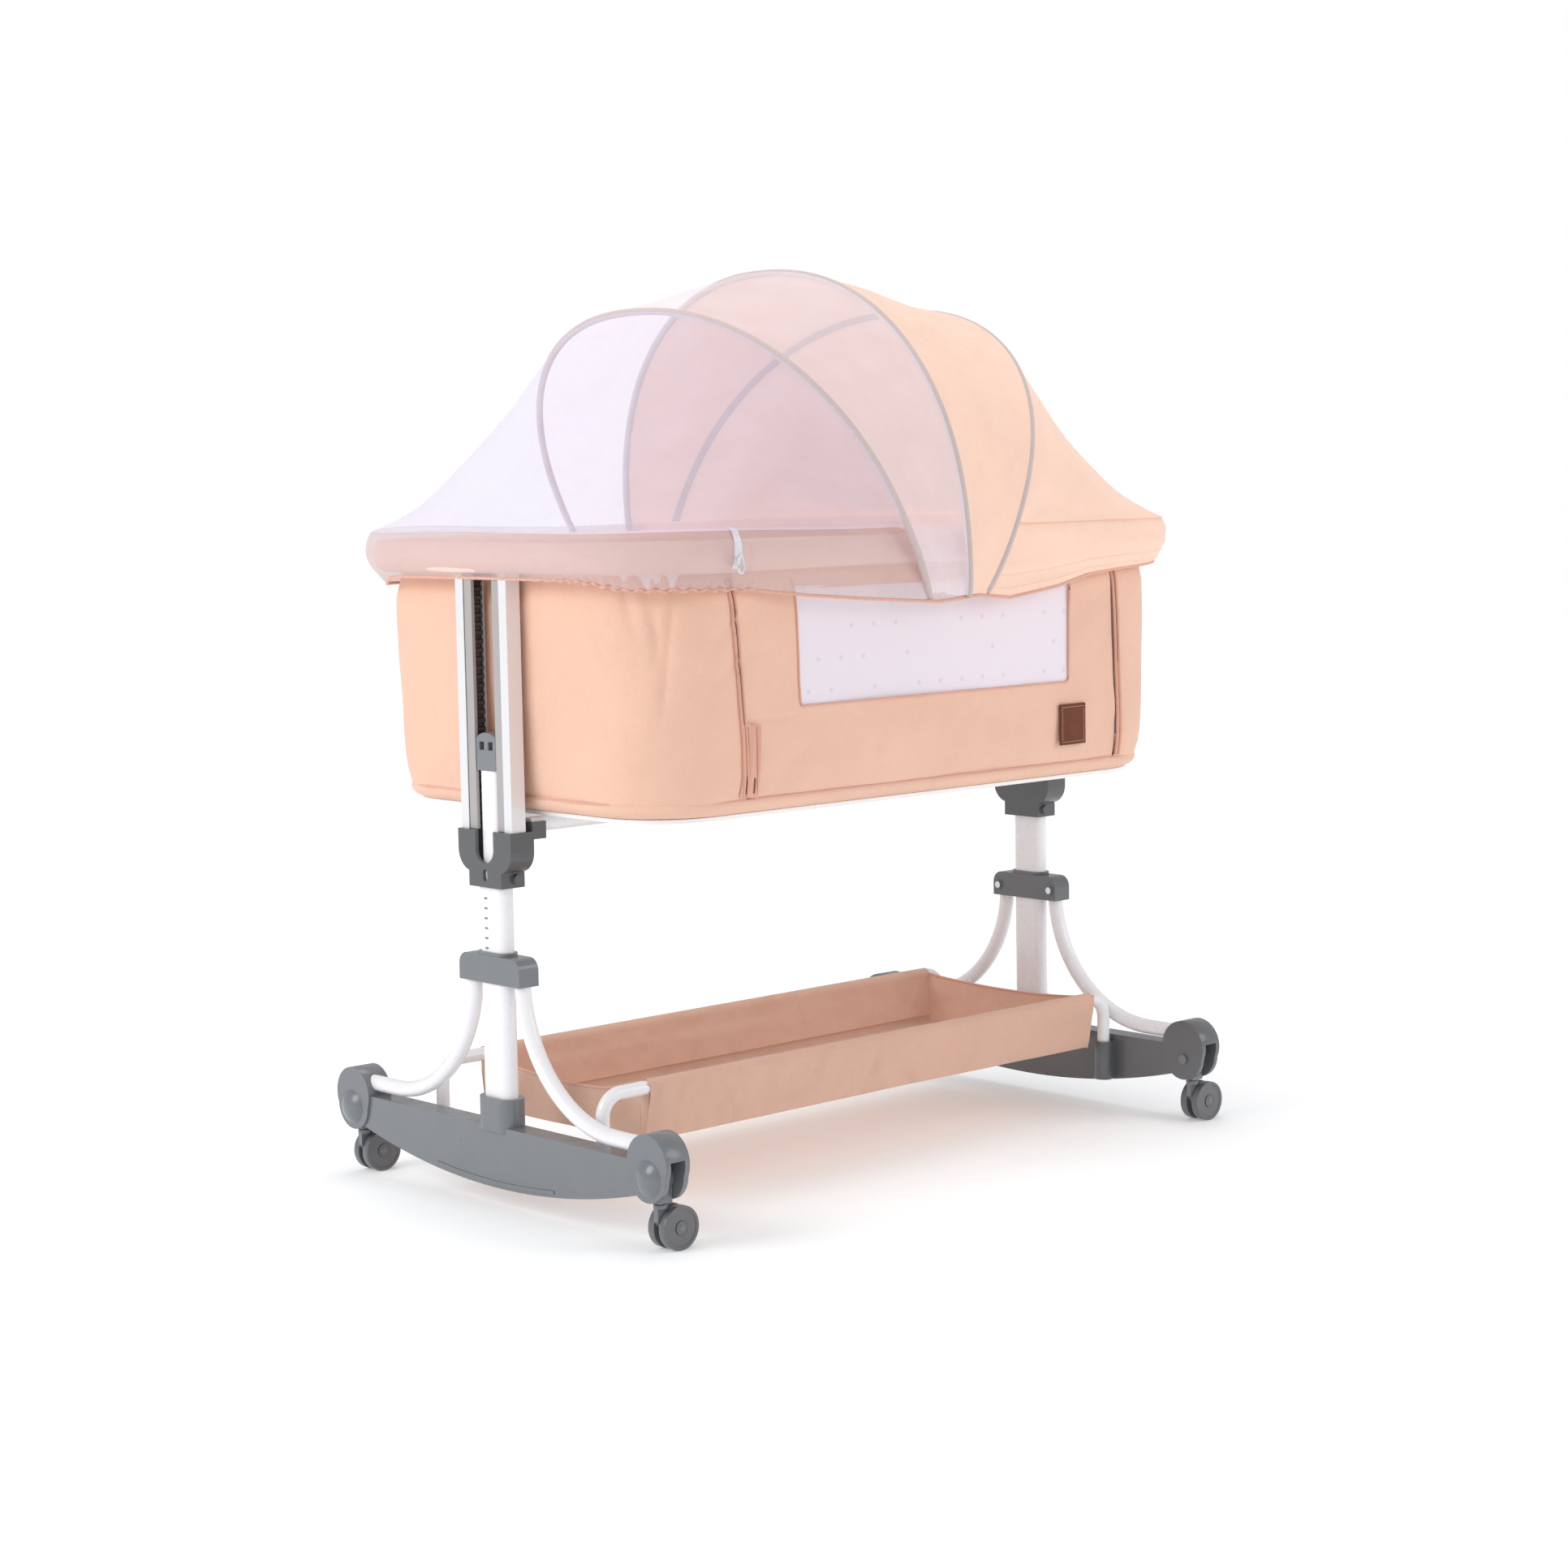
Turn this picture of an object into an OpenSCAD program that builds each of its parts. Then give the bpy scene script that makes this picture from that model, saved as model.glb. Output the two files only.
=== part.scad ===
/* [Stand] */
// Distance between the planes of the two feet
stand_span = 900; // [880:5:920]
// Distance between the two caster pivots of one foot
pivot_span = 556; // [550:2:562]
// Height of the caster fold pivots above the floor
pivot_z = 83; // [83:1:86]
// Thickness of the foot beam
foot_thick = 28; // [28:1:30]
// Height of the top of the foot beam
foot_top_z = 100; // [98:1:101]
// Lowest point of the rocker under each foot
rocker_z = 28; // [26:1:30]
// Radius of the rocker curve
rocker_r = 1010; // [980:10:1040]
// Width of the oval lower post, along the foot
post_w = 48; // [46:1:48]
// Depth of the oval lower post
post_d = 22; // [21:1:22]
// Top of the lower post
post_top_z = 395; // [390:1:396]
// Width of the inner tube that carries the latch block
inner_w = 34; // [32:1:34]
// Depth of the inner tube
inner_d = 16; // [15:1:17]
// Radius of the brace tubes
brace_r = 9.5; // [9:0.5:9.5]
// Radius of the two tubes that carry the storage sling
sling_tube_r = 8; // [7:0.5:8]

/* [Casters] */
// Radius of the twin wheels
wheel_r = 25; // [24:0.5:25]
// Trail of the wheels behind the swivel stem
wheel_trail = 18; // [16:1:18]
// Width of one wheel of the twin
wheel_w = 10; // [8:1:11]

/* [Bassinet] */
// Half length of the fabric tub
tub_x = 436; // [434:1:438]
// Half width of the fabric tub
tub_y = 266; // [264:1:268]
// Corner radius of the tub
tub_corner = 105; // [95:5:110]
// Height of the underside of the tub floor
tub_floor_z = 464; // [462:1:466]
// Height of the centre line of the rim tube
rim_z = 757; // [755:1:760]
// Half length of the skirt around the rim
skirt_x = 482; // [480:1:484]
// Half width of the skirt around the rim
skirt_y = 292; // [291:1:294]
// Thickness of the mattress
mattress_h = 42; // [30:1:50]
// Half length of the side panel that drops
drop_x = 309; // [305:1:312]
// Height of the lower edge of the bracket on the post
bracket_z = 377; // [376:1:378]

/* [Canopy] */
// Height of the hoop ends on the skirt
hoop_z = 715; // [712:1:720]
// Radius of a canopy hoop with its sleeve
hoop_r = 3; // [2.5:0.5:3.5]
// Thickness of the net and hood panels
panel_t = 2; // [1.5:0.5:2.5]

/* [Storage] */
// Height of the sling tubes
sling_z = 150; // [145:1:155]
// Half distance between the sling tubes
sling_y = 150; // [145:1:155]
// Depth of the sling below its tubes
sling_depth = 68; // [50:1:75]

/* [Hidden] */
$fn = 48;

// Ends and sides
LEFT = -1;
RIGHT = 1;
NEAR = -1;
FAR = 1;
foot_x = stand_span / 2;
pivot_y = pivot_span / 2;

// Colours
grey_plastic = [0.44, 0.46, 0.47];
white_paint = [0.95, 0.95, 0.95];
aluminium = [0.88, 0.88, 0.9];
peach = [0.95, 0.8, 0.7];
pink_net = [0.93, 0.84, 0.82];
black_plastic = [0.08, 0.08, 0.09];

// Fits
slip = 0.15;
pin_fit = 0.05;
cloth_gap = 1;

// Foot
bulb_half = 17;
bulb_y = pivot_y - 2;
bulb_top_r = 33;
bulb_low_r = 30;
bulb_top_z = pivot_z + 16;
bulb_low_z = pivot_z + 3;
slot_half = 10.2;
slot_y = pivot_y - 16;
slot_top_z = pivot_z + 21;
socket_w = 62;
socket_d = 34;
socket_top_z = 133;
post_foot_z = 62;
post_wall = 1.5;
pin_r = 4;
dome_r = 21;
dome_h = 9;
sling_socket_r = 12;
sling_tube_x = foot_x - 26;
sling_bend = 26;
sling_tube_foot_z = 50;

// Braces: an arc from the collar down to the bulb
brace_arc_r = 162;
brace_arc_y = 206;
brace_arc_z = 276;
brace_end_y = 258;
brace_wall = 1.2;
brace_top = 14;
brace_slip = 0.5;

// Collar
collar_z = 266;
collar_h = 32;
collar_half = 56;
collar_d = 14;

// Inner tube and latch block
inner_z = 300;
latch_z = 510;
latch_h = 44;
latch_half = 18;
latch_d = 9.5;

// Bracket, rails, inserts and racks
bracket_h = 65;
bracket_half = 49;
bracket_out = 15.5;
bracket_in = 18;
bracket_neck = 30;
rail_low_z = bracket_z + 48;
rail_top_z = rim_z - 10.2;
rail_y0 = 33;
rail_y1 = 47;
rail_x0 = -8.5;
rail_x1 = 11.5;
insert_y = 19;
insert_low_z = bracket_z + 65.2;
rack_pitch = 10;
base_tube_y = 38;
base_tube_r = 9;
base_tube_z = tub_floor_z - 15.2;

// Tub
cloth_t = 5;
board_t = 5;
pad_x = skirt_x - 5;
pad_y = skirt_y - 5;
pad_w = 36;
pad_z = 726;
pad_h = 46;
rim_tube_r = 10;
rim_x = pad_x - pad_w / 2;
rim_y = pad_y - pad_w / 2;
rim_corner = tub_corner + 26;
pad_corner = rim_corner + pad_w / 2;
panel_low_z = 481;
window_x0 = -217;
window_x1 = 233;
window_z0 = 580;
window_z1 = 712;

// Caster
stem_r = 5;
fork_low_z = 48.5;
fork_top_z = 53;
arm_low_z = 55;
arm_half = 9.5;
axle_r = 3;
wheel_gap = 4;

// Canopy hoops: base x, lean towards the head end, centre height, rise and half width in the hoop's plane
front_hoop = [-48, -29, 71, 290, 305];
middle_hoop = [21, -6, 55, 313, 305];
rear_hoop = [69, 24, 78, 275, 306];
hoop_power = 2.2;
hoop_steps = 28;
hoop_sides = 8;
boss_r = 3.5;
tub_middle_z = 650;
rim_edge_gap = 3;
rim_rise = 190;

// Points of an arc from angle a0 to a1
function arc(cx, cy, r, a0, a1, n) =
    [for (i = [0:n]) let (a = a0 + (a1 - a0) * i / n) [cx + r * cos(a), cy + r * sin(a)]];

// Outline of a rectangle with rounded corners, given by its half sides
function rounded_rect(hx, hy, r, n = 8) = concat(
    arc(hx - r, hy - r, r, 0, 90, n),
    arc(r - hx, hy - r, r, 90, 180, n),
    arc(r - hx, r - hy, r, 180, 270, n),
    arc(hx - r, r - hy, r, 270, 360, n)
);

// Oval section of a post: depth along x, width along y
function oval(w, d) = rounded_rect(d / 2, w / 2, d / 2 - 0.4, 7);

function lerp(a, b, t) = a + (b - a) * t;
function signed_pow(v, p) = sign(v) * pow(abs(v), p);

// Angle at which a hoop's curve starts, just below its widest point
function hoop_start(h) = -asin(pow(h[2] / h[3], hoop_power / 2));

// Point of a hoop: a is the angle round the hoop, and grow moves it outwards
function hoop_point(h, a, grow = 0) =
    let (
        y = -(h[4] + grow) * signed_pow(cos(a), 2 / hoop_power),
        s = h[2] + (h[3] + grow) * signed_pow(sin(a), 2 / hoop_power)
    )
    [h[0] + s * sin(h[1]), y, hoop_z + s * cos(h[1])];

function hoop_angle(h, i, n) = lerp(hoop_start(h), 180 - hoop_start(h), i / n);

// Point of a panel's edge round one end of the skirt: f runs from 0 at the near side to 1 at the far side,
// and the edge rises from below the hoop's end to the top of the rim
function rim_point(dir, x_start, f) =
    let (
        r = pad_corner + 5 + rim_edge_gap,
        hx = skirt_x + rim_edge_gap,
        hy = skirt_y + rim_edge_gap,
        straight = hx - r - dir * x_start,
        quarter = r * PI / 2,
        end_half = hy - r,
        total = 2 * (straight + quarter + end_half),
        s = min(f, 1 - f) * total,
        side = f < 0.5 ? NEAR : FAR,
        a = (s - straight) / quarter * 90,
        p = s < straight ? [x_start + dir * s, hy]
            : s < straight + quarter ? [dir * (hx - r + r * sin(a)), hy - r + r * cos(a)]
            : [dir * hx, end_half - (s - straight - quarter)]
    )
    [p[0], side * p[1], lerp(hoop_z - 12, pad_z + pad_h + 6, min(1, s / rim_rise))];

// Moves a canopy point inwards, towards the middle of the tub
function inwards(p, t) =
    let (v = [-0.3 * p[0], -p[1], tub_middle_z - p[2]])
    p + t * v / norm(v);

// Joins rings of equal length into one closed solid; closed_loop joins the last ring to the first
module loft(rings, closed_loop = false) {
    n = len(rings);
    m = len(rings[0]);
    last = closed_loop ? n - 1 : n - 2;
    sides = [
        for (i = [0:last]) for (j = [0:m - 1])
        let (
            next = ((i + 1) % n) * m,
            a = i * m + j,
            b = i * m + (j + 1) % m,
            c = next + j,
            d = next + (j + 1) % m
        )
        each [[a, b, d], [a, d, c]]
    ];
    caps = closed_loop ? [] : [
        for (k = [1:m / 2 - 1]) each [
            [k - 1, m - k, m - k - 1], [k - 1, m - k - 1, k],
            [(n - 1) * m + k - 1, (n - 1) * m + m - k - 1, (n - 1) * m + m - k],
            [(n - 1) * m + k - 1, (n - 1) * m + k, (n - 1) * m + m - k - 1]
        ]
    ];
    polyhedron(points = [for (r = rings) each r], faces = concat(sides, caps), convexity = 6);
}

// Thin panel between two edges of equal length, bowed towards the control points
module panel(first, second, across, control) {
    n = len(first);
    loft([
        for (i = [0:n - 1])
        let (
            outer = [
                for (k = [0:across])
                let (u = k / across, c = control[i])
                (1 - u) * (1 - u) * first[i] + 2 * u * (1 - u) * c + u * u * second[i]
            ]
        )
        concat([for (k = [0:across]) inwards(outer[k], panel_t)], [for (k = [across:-1:0]) outer[k]])
    ]);
}

// Places children, modelled for the right end around the foot plane, at one end of the stand
module at_end(end) {
    mirror([end == LEFT ? 1 : 0, 0, 0]) translate([foot_x, 0, 0]) children();
}

module at_side(side) {
    mirror([0, side == NEAR ? 1 : 0, 0]) children();
}

// Extrudes a y-z outline along x between two planes
module along_x(x0, x1) {
    translate([x0, 0, 0]) rotate([90, 0, 90]) linear_extrude(x1 - x0) children();
}

module ring(r, wall) {
    difference() {
        circle(r);
        circle(r - wall);
    }
}

// ---- Stand ----

module bulb_outline() {
    translate([bulb_y, bulb_top_z]) circle(bulb_top_r);
    translate([bulb_y, bulb_low_z]) circle(bulb_low_r);
}

module foot(end) {
    color(grey_plastic) at_end(end) difference() {
        union() {
            along_x(-foot_thick / 2, foot_thick / 2) intersection() {
                translate([0, rocker_z + rocker_r]) circle(rocker_r, $fn = 200);
                translate([-bulb_y, rocker_z - 1]) square([2 * bulb_y, foot_top_z - rocker_z + 1]);
            }
            for (side = [NEAR, FAR]) at_side(side) {
                along_x(-bulb_half, bulb_half) bulb_outline();
                translate([-26, sling_y, 42]) cylinder(h = sling_z - 100, r = sling_socket_r);
                translate([-26, sling_y - 9, 42]) cube([14, 18, sling_z - 100]);
            }
            translate([0, 0, foot_top_z - 6])
                linear_extrude(socket_top_z - foot_top_z + 6) polygon(oval(socket_w, socket_d));
            // Raised rib along the outer face of the rocker
            along_x(0, foot_thick / 2 + 1.2) intersection() {
                difference() {
                    translate([0, rocker_z + rocker_r]) circle(rocker_r - 4, $fn = 200);
                    translate([0, rocker_z + rocker_r]) circle(rocker_r - 8, $fn = 200);
                }
                translate([-110, rocker_z]) square([220, 30]);
            }
        }
        translate([0, 0, post_foot_z]) linear_extrude(200)
            polygon(oval(post_w + 2 * slip, post_d + 2 * slip));
        for (side = [NEAR, FAR]) at_side(side) {
            translate([-slot_half, slot_y, 30]) cube([2 * slot_half, 60, slot_top_z - 30]);
            translate([-30, pivot_y, pivot_z]) rotate([0, 90, 0]) cylinder(h = 60, r = pin_r + pin_fit);
            at_brace_end() cylinder(h = brace_end_y - brace_arc_y + 2, r = brace_r + slip);
            translate([-26, sling_y, sling_tube_foot_z]) cylinder(h = 60, r = sling_tube_r + slip);
        }
    }
}

module post(end) {
    color(white_paint) at_end(end) translate([0, 0, post_foot_z]) difference() {
        linear_extrude(post_top_z - post_foot_z) polygon(oval(post_w, post_d));
        translate([0, 0, -1]) linear_extrude(post_top_z - post_foot_z + 2)
            polygon(oval(post_w - 2 * post_wall, post_d - 2 * post_wall));
    }
}

module inner_tube(end) {
    color(white_paint) at_end(end) translate([0, 0, inner_z]) difference() {
        linear_extrude(latch_z - inner_z) polygon(oval(inner_w, inner_d));
        translate([0, 0, -1]) linear_extrude(latch_z - inner_z + 2)
            polygon(oval(inner_w - 2 * post_wall, inner_d - 2 * post_wall));
    }
}

module latch_block(end) {
    crown_r = 30;
    color(grey_plastic) at_end(end) difference() {
        along_x(-latch_d, latch_d) intersection() {
            translate([-latch_half, latch_z]) square([2 * latch_half, latch_h]);
            translate([0, latch_z + latch_h - crown_r]) circle(crown_r + 0.01);
        }
        for (y = [-8, 8]) translate([0, y - 4, latch_z + 24]) cube([20, 8, 9]);
    }
    // Shoulders below the crown, which the arc leaves open
    color(grey_plastic) at_end(end) translate([-latch_d, -latch_half, latch_z])
        cube([2 * latch_d, 2 * latch_half, 10]);
}

// Foot of the straight end of a brace inside the collar
module at_brace_head() {
    translate([0, brace_arc_y - brace_arc_r, brace_arc_z]) children();
}

// Start of the straight end of a brace that goes into the bulb
module at_brace_end() {
    translate([0, brace_arc_y, brace_arc_z - brace_arc_r]) rotate([-90, 0, 0]) children();
}

module brace(end, side) {
    color(white_paint) at_end(end) at_side(side) {
        at_brace_head() linear_extrude(brace_top) ring(brace_r, brace_wall);
        translate([0, brace_arc_y, brace_arc_z]) rotate([90, 0, 90]) rotate([0, 0, 180])
            rotate_extrude(angle = 90) translate([brace_arc_r, 0]) ring(brace_r, brace_wall);
        at_brace_end() linear_extrude(brace_end_y - brace_arc_y) ring(brace_r, brace_wall);
    }
}

module collar(end) {
    shoulder = 14;
    color(grey_plastic) at_end(end) difference() {
        union() {
            along_x(-collar_d, collar_d) polygon(concat(
                [[-collar_half, collar_z], [collar_half, collar_z]],
                arc(collar_half - shoulder, collar_z + collar_h - shoulder, shoulder, 0, 90, 6),
                arc(shoulder - collar_half, collar_z + collar_h - shoulder, shoulder, 90, 180, 6)
            ));
            translate([0, 0, collar_z + collar_h - 1]) linear_extrude(5)
                polygon(oval(post_w + 8, post_d + 5));
            for (side = [NEAR, FAR]) translate([-collar_d - 1, side * 46, collar_z + 14])
                rotate([0, 90, 0]) cylinder(h = 4, r = 7);
        }
        translate([0, 0, collar_z - 1]) linear_extrude(collar_h + 10)
            polygon(oval(post_w + 2 * slip, post_d + 2 * slip));
        for (side = [NEAR, FAR]) at_side(side) at_brace_head()
            translate([0, 0, -20]) cylinder(h = brace_top + 20.2, r = brace_r + brace_slip);
        for (side = [NEAR, FAR]) translate([-collar_d - 2, side * 46, collar_z + 14])
            rotate([0, 90, 0]) cylinder(h = 4, r = 2.5);
    }
}

module collar_screws() {
    color(aluminium) for (end = [LEFT, RIGHT]) at_end(end) for (side = [NEAR, FAR])
        translate([-collar_d - 3, side * 46, collar_z + 14]) rotate([0, 90, 0]) {
            cylinder(h = 1.9, r = 4.5);
            cylinder(h = 4.5, r = 2.4);
        }
}

module pivot_pins() {
    sphere_r = (dome_r * dome_r + dome_h * dome_h) / (2 * dome_h);
    edge_angle = asin((sphere_r - dome_h) / sphere_r);
    color(grey_plastic) for (end = [LEFT, RIGHT]) at_end(end) for (side = [NEAR, FAR])
        translate([0, side * pivot_y, pivot_z]) rotate([0, 90, 0]) {
            translate([0, 0, -bulb_half - 2]) cylinder(h = 2 * bulb_half + 3, r = pin_r);
            translate([0, 0, -bulb_half - 3]) cylinder(h = 2.9, r = 6);
            translate([0, 0, bulb_half + 0.1]) rotate_extrude()
                polygon(concat([[0, 0]], arc(0, dome_h - sphere_r, sphere_r, edge_angle, 90, 8)));
        }
}

module basket_tube(side) {
    straight = 2 * (sling_tube_x - sling_bend);
    color(white_paint) at_side(side) {
        translate([-straight / 2, sling_y, sling_z]) rotate([90, 0, 90]) linear_extrude(straight)
            ring(sling_tube_r, post_wall);
        for (end = [0, 1]) mirror([end, 0, 0]) {
            translate([sling_tube_x - sling_bend, sling_y, sling_z - sling_bend]) rotate([90, 0, 0])
                rotate_extrude(angle = 90) translate([sling_bend, 0]) ring(sling_tube_r, post_wall);
            translate([sling_tube_x, sling_y, sling_tube_foot_z])
                linear_extrude(sling_z - sling_bend - sling_tube_foot_z) ring(sling_tube_r, post_wall);
        }
    }
}

sling_x0 = -360;
sling_x1 = 396;
sling_half = sling_y - sling_tube_r - 0.6;

module basket_sling() {
    wall = 3;
    droop = 14;
    color(peach) difference() {
        translate([sling_x0, -sling_half, sling_z - sling_depth])
            cube([sling_x1 - sling_x0, 2 * sling_half, sling_depth + 2]);
        translate([sling_x0 + wall, wall - sling_half, sling_z - sling_depth + wall])
            cube([sling_x1 - sling_x0 - 2 * wall, 2 * (sling_half - wall), 200]);
        // The end walls droop between the tubes
        translate([sling_x0 - 1, 20 - sling_half, sling_z + 2 - droop])
            cube([sling_x1 - sling_x0 + 2, 2 * (sling_half - 20), 200]);
    }
}

// ---- Casters, in place at one corner ----

module at_corner(end, side) {
    translate([end * foot_x, side * pivot_y, 0]) children();
}

module caster_arm(end, side) {
    color(grey_plastic) at_corner(end, side) difference() {
        union() {
            translate([-arm_half, 0, pivot_z]) rotate([0, 90, 0]) cylinder(h = 2 * arm_half, r = 13);
            translate([-arm_half, -9, arm_low_z]) cube([2 * arm_half, 18, pivot_z - arm_low_z]);
        }
        translate([-20, 0, pivot_z]) rotate([0, 90, 0]) cylinder(h = 40, r = pin_r + pin_fit);
        translate([0, 0, arm_low_z - 1])
            cylinder(h = pivot_z - pin_r - 4 - arm_low_z, r = stem_r + pin_fit);
    }
}

module caster_fork(end, side) {
    stem_top_z = pivot_z - pin_r - 6;
    brake = end == RIGHT;
    color(grey_plastic) at_corner(end, side) {
        difference() {
            union() {
                translate([0, 0, fork_low_z]) cylinder(h = stem_top_z - fork_low_z, r = stem_r);
                translate([0, 0, fork_low_z]) cylinder(h = fork_top_z - fork_low_z, r = 8);
                translate([0, 3.5, 0]) rotate([90, 0, 0]) linear_extrude(7) {
                    translate([wheel_trail, wheel_r]) circle(14);
                    polygon([[-7, 49], [-7, 34], [wheel_trail - 10, 14], [wheel_trail + 10, 36], [7, 49]]);
                }
            }
            if (brake) translate([wheel_trail + 4.5, -0.1, 0]) cube([30, 5, 50]);
        }
        translate([wheel_trail, 0, wheel_r]) rotate([90, 0, 0])
            cylinder(h = 2 * (wheel_gap + wheel_w) + 3, r = axle_r, center = true);
        if (brake) translate([wheel_trail + 9, 3.4, wheel_r + 6]) rotate([90, 0, 0])
            cylinder(h = 4, r = 1.8);
    }
}

module caster_wheels(end, side) {
    color(grey_plastic) at_corner(end, side) translate([wheel_trail, 0, wheel_r]) for (s = [NEAR, FAR])
        at_side(s) rotate([90, 0, 0]) translate([0, 0, -wheel_gap - wheel_w]) difference() {
            cylinder(h = wheel_w, r = wheel_r);
            translate([0, 0, -1]) cylinder(h = wheel_w + 2, r = axle_r + pin_fit);
            translate([0, 0, -1]) difference() {
                cylinder(h = 2, r = wheel_r - 4);
                cylinder(h = 3, r = 8, center = true);
            }
        }
}

module brake_lever(side) {
    px = wheel_trail + 9;
    pz = wheel_r + 6;
    color(grey_plastic) at_corner(RIGHT, side) difference() {
        union() {
            translate([0, 3.3, 0]) rotate([90, 0, 0]) linear_extrude(3.2) {
                translate([px, pz]) circle(3.8);
                polygon([
                    [px, pz + 3.8], [px, pz - 3.8], [px + 11, pz - 8], [px + 16, pz - 5], [px + 16, pz]
                ]);
            }
            translate([px + 14, -3.3, pz - 6.5]) cube([5.5, 6.6, 5]);
        }
        translate([px, 10, pz]) rotate([90, 0, 0]) cylinder(h = 20, r = 1.8 + pin_fit);
    }
}

// ---- Bassinet ----

module bracket(end) {
    cheek_r = bracket_half - bracket_neck + 6;
    cheek_z = bracket_z + 42;
    neck_z = bracket_z + 18;
    slot_r = 16.5;
    slot_z = bracket_z + 44;
    color(grey_plastic) at_end(end) difference() {
        union() {
            along_x(-bracket_in, bracket_out) polygon(concat(
                [[-bracket_neck, neck_z], [-bracket_neck, bracket_z]],
                [[bracket_neck, bracket_z], [bracket_neck, neck_z]],
                arc(bracket_half - cheek_r, cheek_z, cheek_r, -70, 0, 6),
                [[bracket_half, bracket_z + bracket_h], [-bracket_half, bracket_z + bracket_h]],
                arc(cheek_r - bracket_half, cheek_z, cheek_r, 180, 250, 6)
            ));
            // Screw boss on the near side of the neck
            translate([-6, -bracket_neck - 5, bracket_z + 10]) rotate([-90, 0, 0]) cylinder(h = 8, r = 6);
            // Saddles that take the base tubes
            for (side = [NEAR, FAR])
                translate([-bracket_in - 18, side * base_tube_y - 11, base_tube_z - 16]) cube([20, 22, 20]);
        }
        translate([0, 0, bracket_z - 1]) linear_extrude(bracket_h + 30)
            polygon(oval(post_w + 1, post_d + 1));
        // Front slot with a round foot
        along_x(0, 40) {
            translate([0, slot_z]) circle(slot_r);
            translate([-slot_r, slot_z]) square([2 * slot_r, 40]);
        }
        // Window through which the post is seen
        along_x(0, 40) {
            translate([0, bracket_z + 11]) circle(4);
            translate([-4, bracket_z + 11]) square([8, 6]);
            translate([0, bracket_z + 17]) circle(4);
        }
        for (side = [NEAR, FAR]) at_side(side) {
            translate([rail_x0 - slip, rail_y0 - slip, rail_low_z])
                cube([rail_x1 - rail_x0 + 2 * slip, rail_y1 - rail_y0 + 2 * slip, 60]);
            translate([-80, base_tube_y, base_tube_z]) rotate([0, 90, 0])
                cylinder(h = 80 - bracket_in, r = base_tube_r + slip);
        }
    }
}

module rails(end) {
    wall = 1.6;
    color(aluminium) at_end(end) for (side = [NEAR, FAR]) at_side(side)
        translate([0, 0, rail_low_z]) linear_extrude(rail_top_z - rail_low_z) difference() {
            translate([rail_x0, rail_y0]) square([rail_x1 - rail_x0, rail_y1 - rail_y0]);
            translate([rail_x0 + wall, rail_y0 - 1])
                square([rail_x1 - rail_x0 - 2 * wall, rail_y1 - rail_y0 - wall + 1]);
        }
}

// Grey channel between the rail and the inner tube; its groove holds the rack
module rail_inserts(end) {
    color(grey_plastic) at_end(end) for (side = [NEAR, FAR]) at_side(side)
        translate([0, 0, insert_low_z]) linear_extrude(rail_top_z - insert_low_z) difference() {
            translate([rail_x0, insert_y]) square([rail_x1 - rail_x0 - 1.5, rail_y0 - insert_y - slip]);
            translate([rail_x0 + 2, insert_y - 1]) square([12, 8]);
        }
}

module racks(end) {
    count = floor((rail_top_z - insert_low_z - 4) / rack_pitch);
    color(black_plastic) at_end(end) for (side = [NEAR, FAR]) at_side(side)
        along_x(rail_x0 + 2.2, rail_x0 + 13.8) polygon(concat(
            [[insert_y + 6.8, insert_low_z + 1], [insert_y + 6.8, insert_low_z + 1 + count * rack_pitch]],
            [for (i = [count - 1:-1:0]) let (z = insert_low_z + 1 + i * rack_pitch) each [
                [insert_y + 4, z + rack_pitch], [insert_y + 4, z + 0.6 * rack_pitch],
                [insert_y + 0.8, z + 0.5 * rack_pitch], [insert_y + 0.8, z + 0.1 * rack_pitch],
                [insert_y + 4, z]
            ]]
        ));
}

module rim_frame() {
    color(white_paint) translate([0, 0, rim_z]) {
        for (sx = [0, 1]) for (sy = [0, 1]) mirror([sx, 0, 0]) mirror([0, sy, 0]) {
            translate([rim_x - rim_corner, rim_y - rim_corner, 0]) rotate_extrude(angle = 90, $fn = 96)
                translate([rim_corner, 0]) ring(rim_tube_r, post_wall);
            translate([rim_x, 0, 0]) rotate([-90, 0, 0]) linear_extrude(rim_y - rim_corner)
                ring(rim_tube_r, post_wall);
        }
        translate([rim_corner - rim_x, rim_y, 0]) rotate([90, 0, 90])
            linear_extrude(2 * (rim_x - rim_corner)) ring(rim_tube_r, post_wall);
        for (sx = [0, 1]) mirror([sx, 0, 0]) translate([drop_x + 2, -rim_y, 0]) rotate([90, 0, 90])
            linear_extrude(rim_x - rim_corner - drop_x - 2) ring(rim_tube_r, post_wall);
    }
}

// Ring between two rounded outlines around the tub
module tub_ring(hx, hy, r, w, z0, h) {
    translate([0, 0, z0]) linear_extrude(h) difference() {
        polygon(rounded_rect(hx, hy, r));
        polygon(rounded_rect(hx - w, hy - w, r - w));
    }
}

module pad_solid() {
    half = rim_tube_r + 1.5;
    difference() {
        tub_ring(pad_x, pad_y, pad_corner, pad_w, pad_z, pad_h);
        tub_ring(rim_x + half, rim_y + half, rim_corner + half, 2 * half, rim_z - half, 2 * half);
        for (end = [LEFT, RIGHT]) at_end(end) translate([rail_x0 - 1, -rail_y1 - 1, pad_z - 1])
            cube([rail_x1 - rail_x0 + 2, 2 * rail_y1 + 2, 30]);
    }
}

module near_middle(half) {
    translate([-half, -400, 0]) cube([2 * half, 200, 1000]);
}

module rim_pad() {
    color(peach) difference() {
        pad_solid();
        near_middle(drop_x + cloth_gap);
    }
}

module drop_pad() {
    color(peach) intersection() {
        pad_solid();
        near_middle(drop_x);
    }
}

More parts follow.
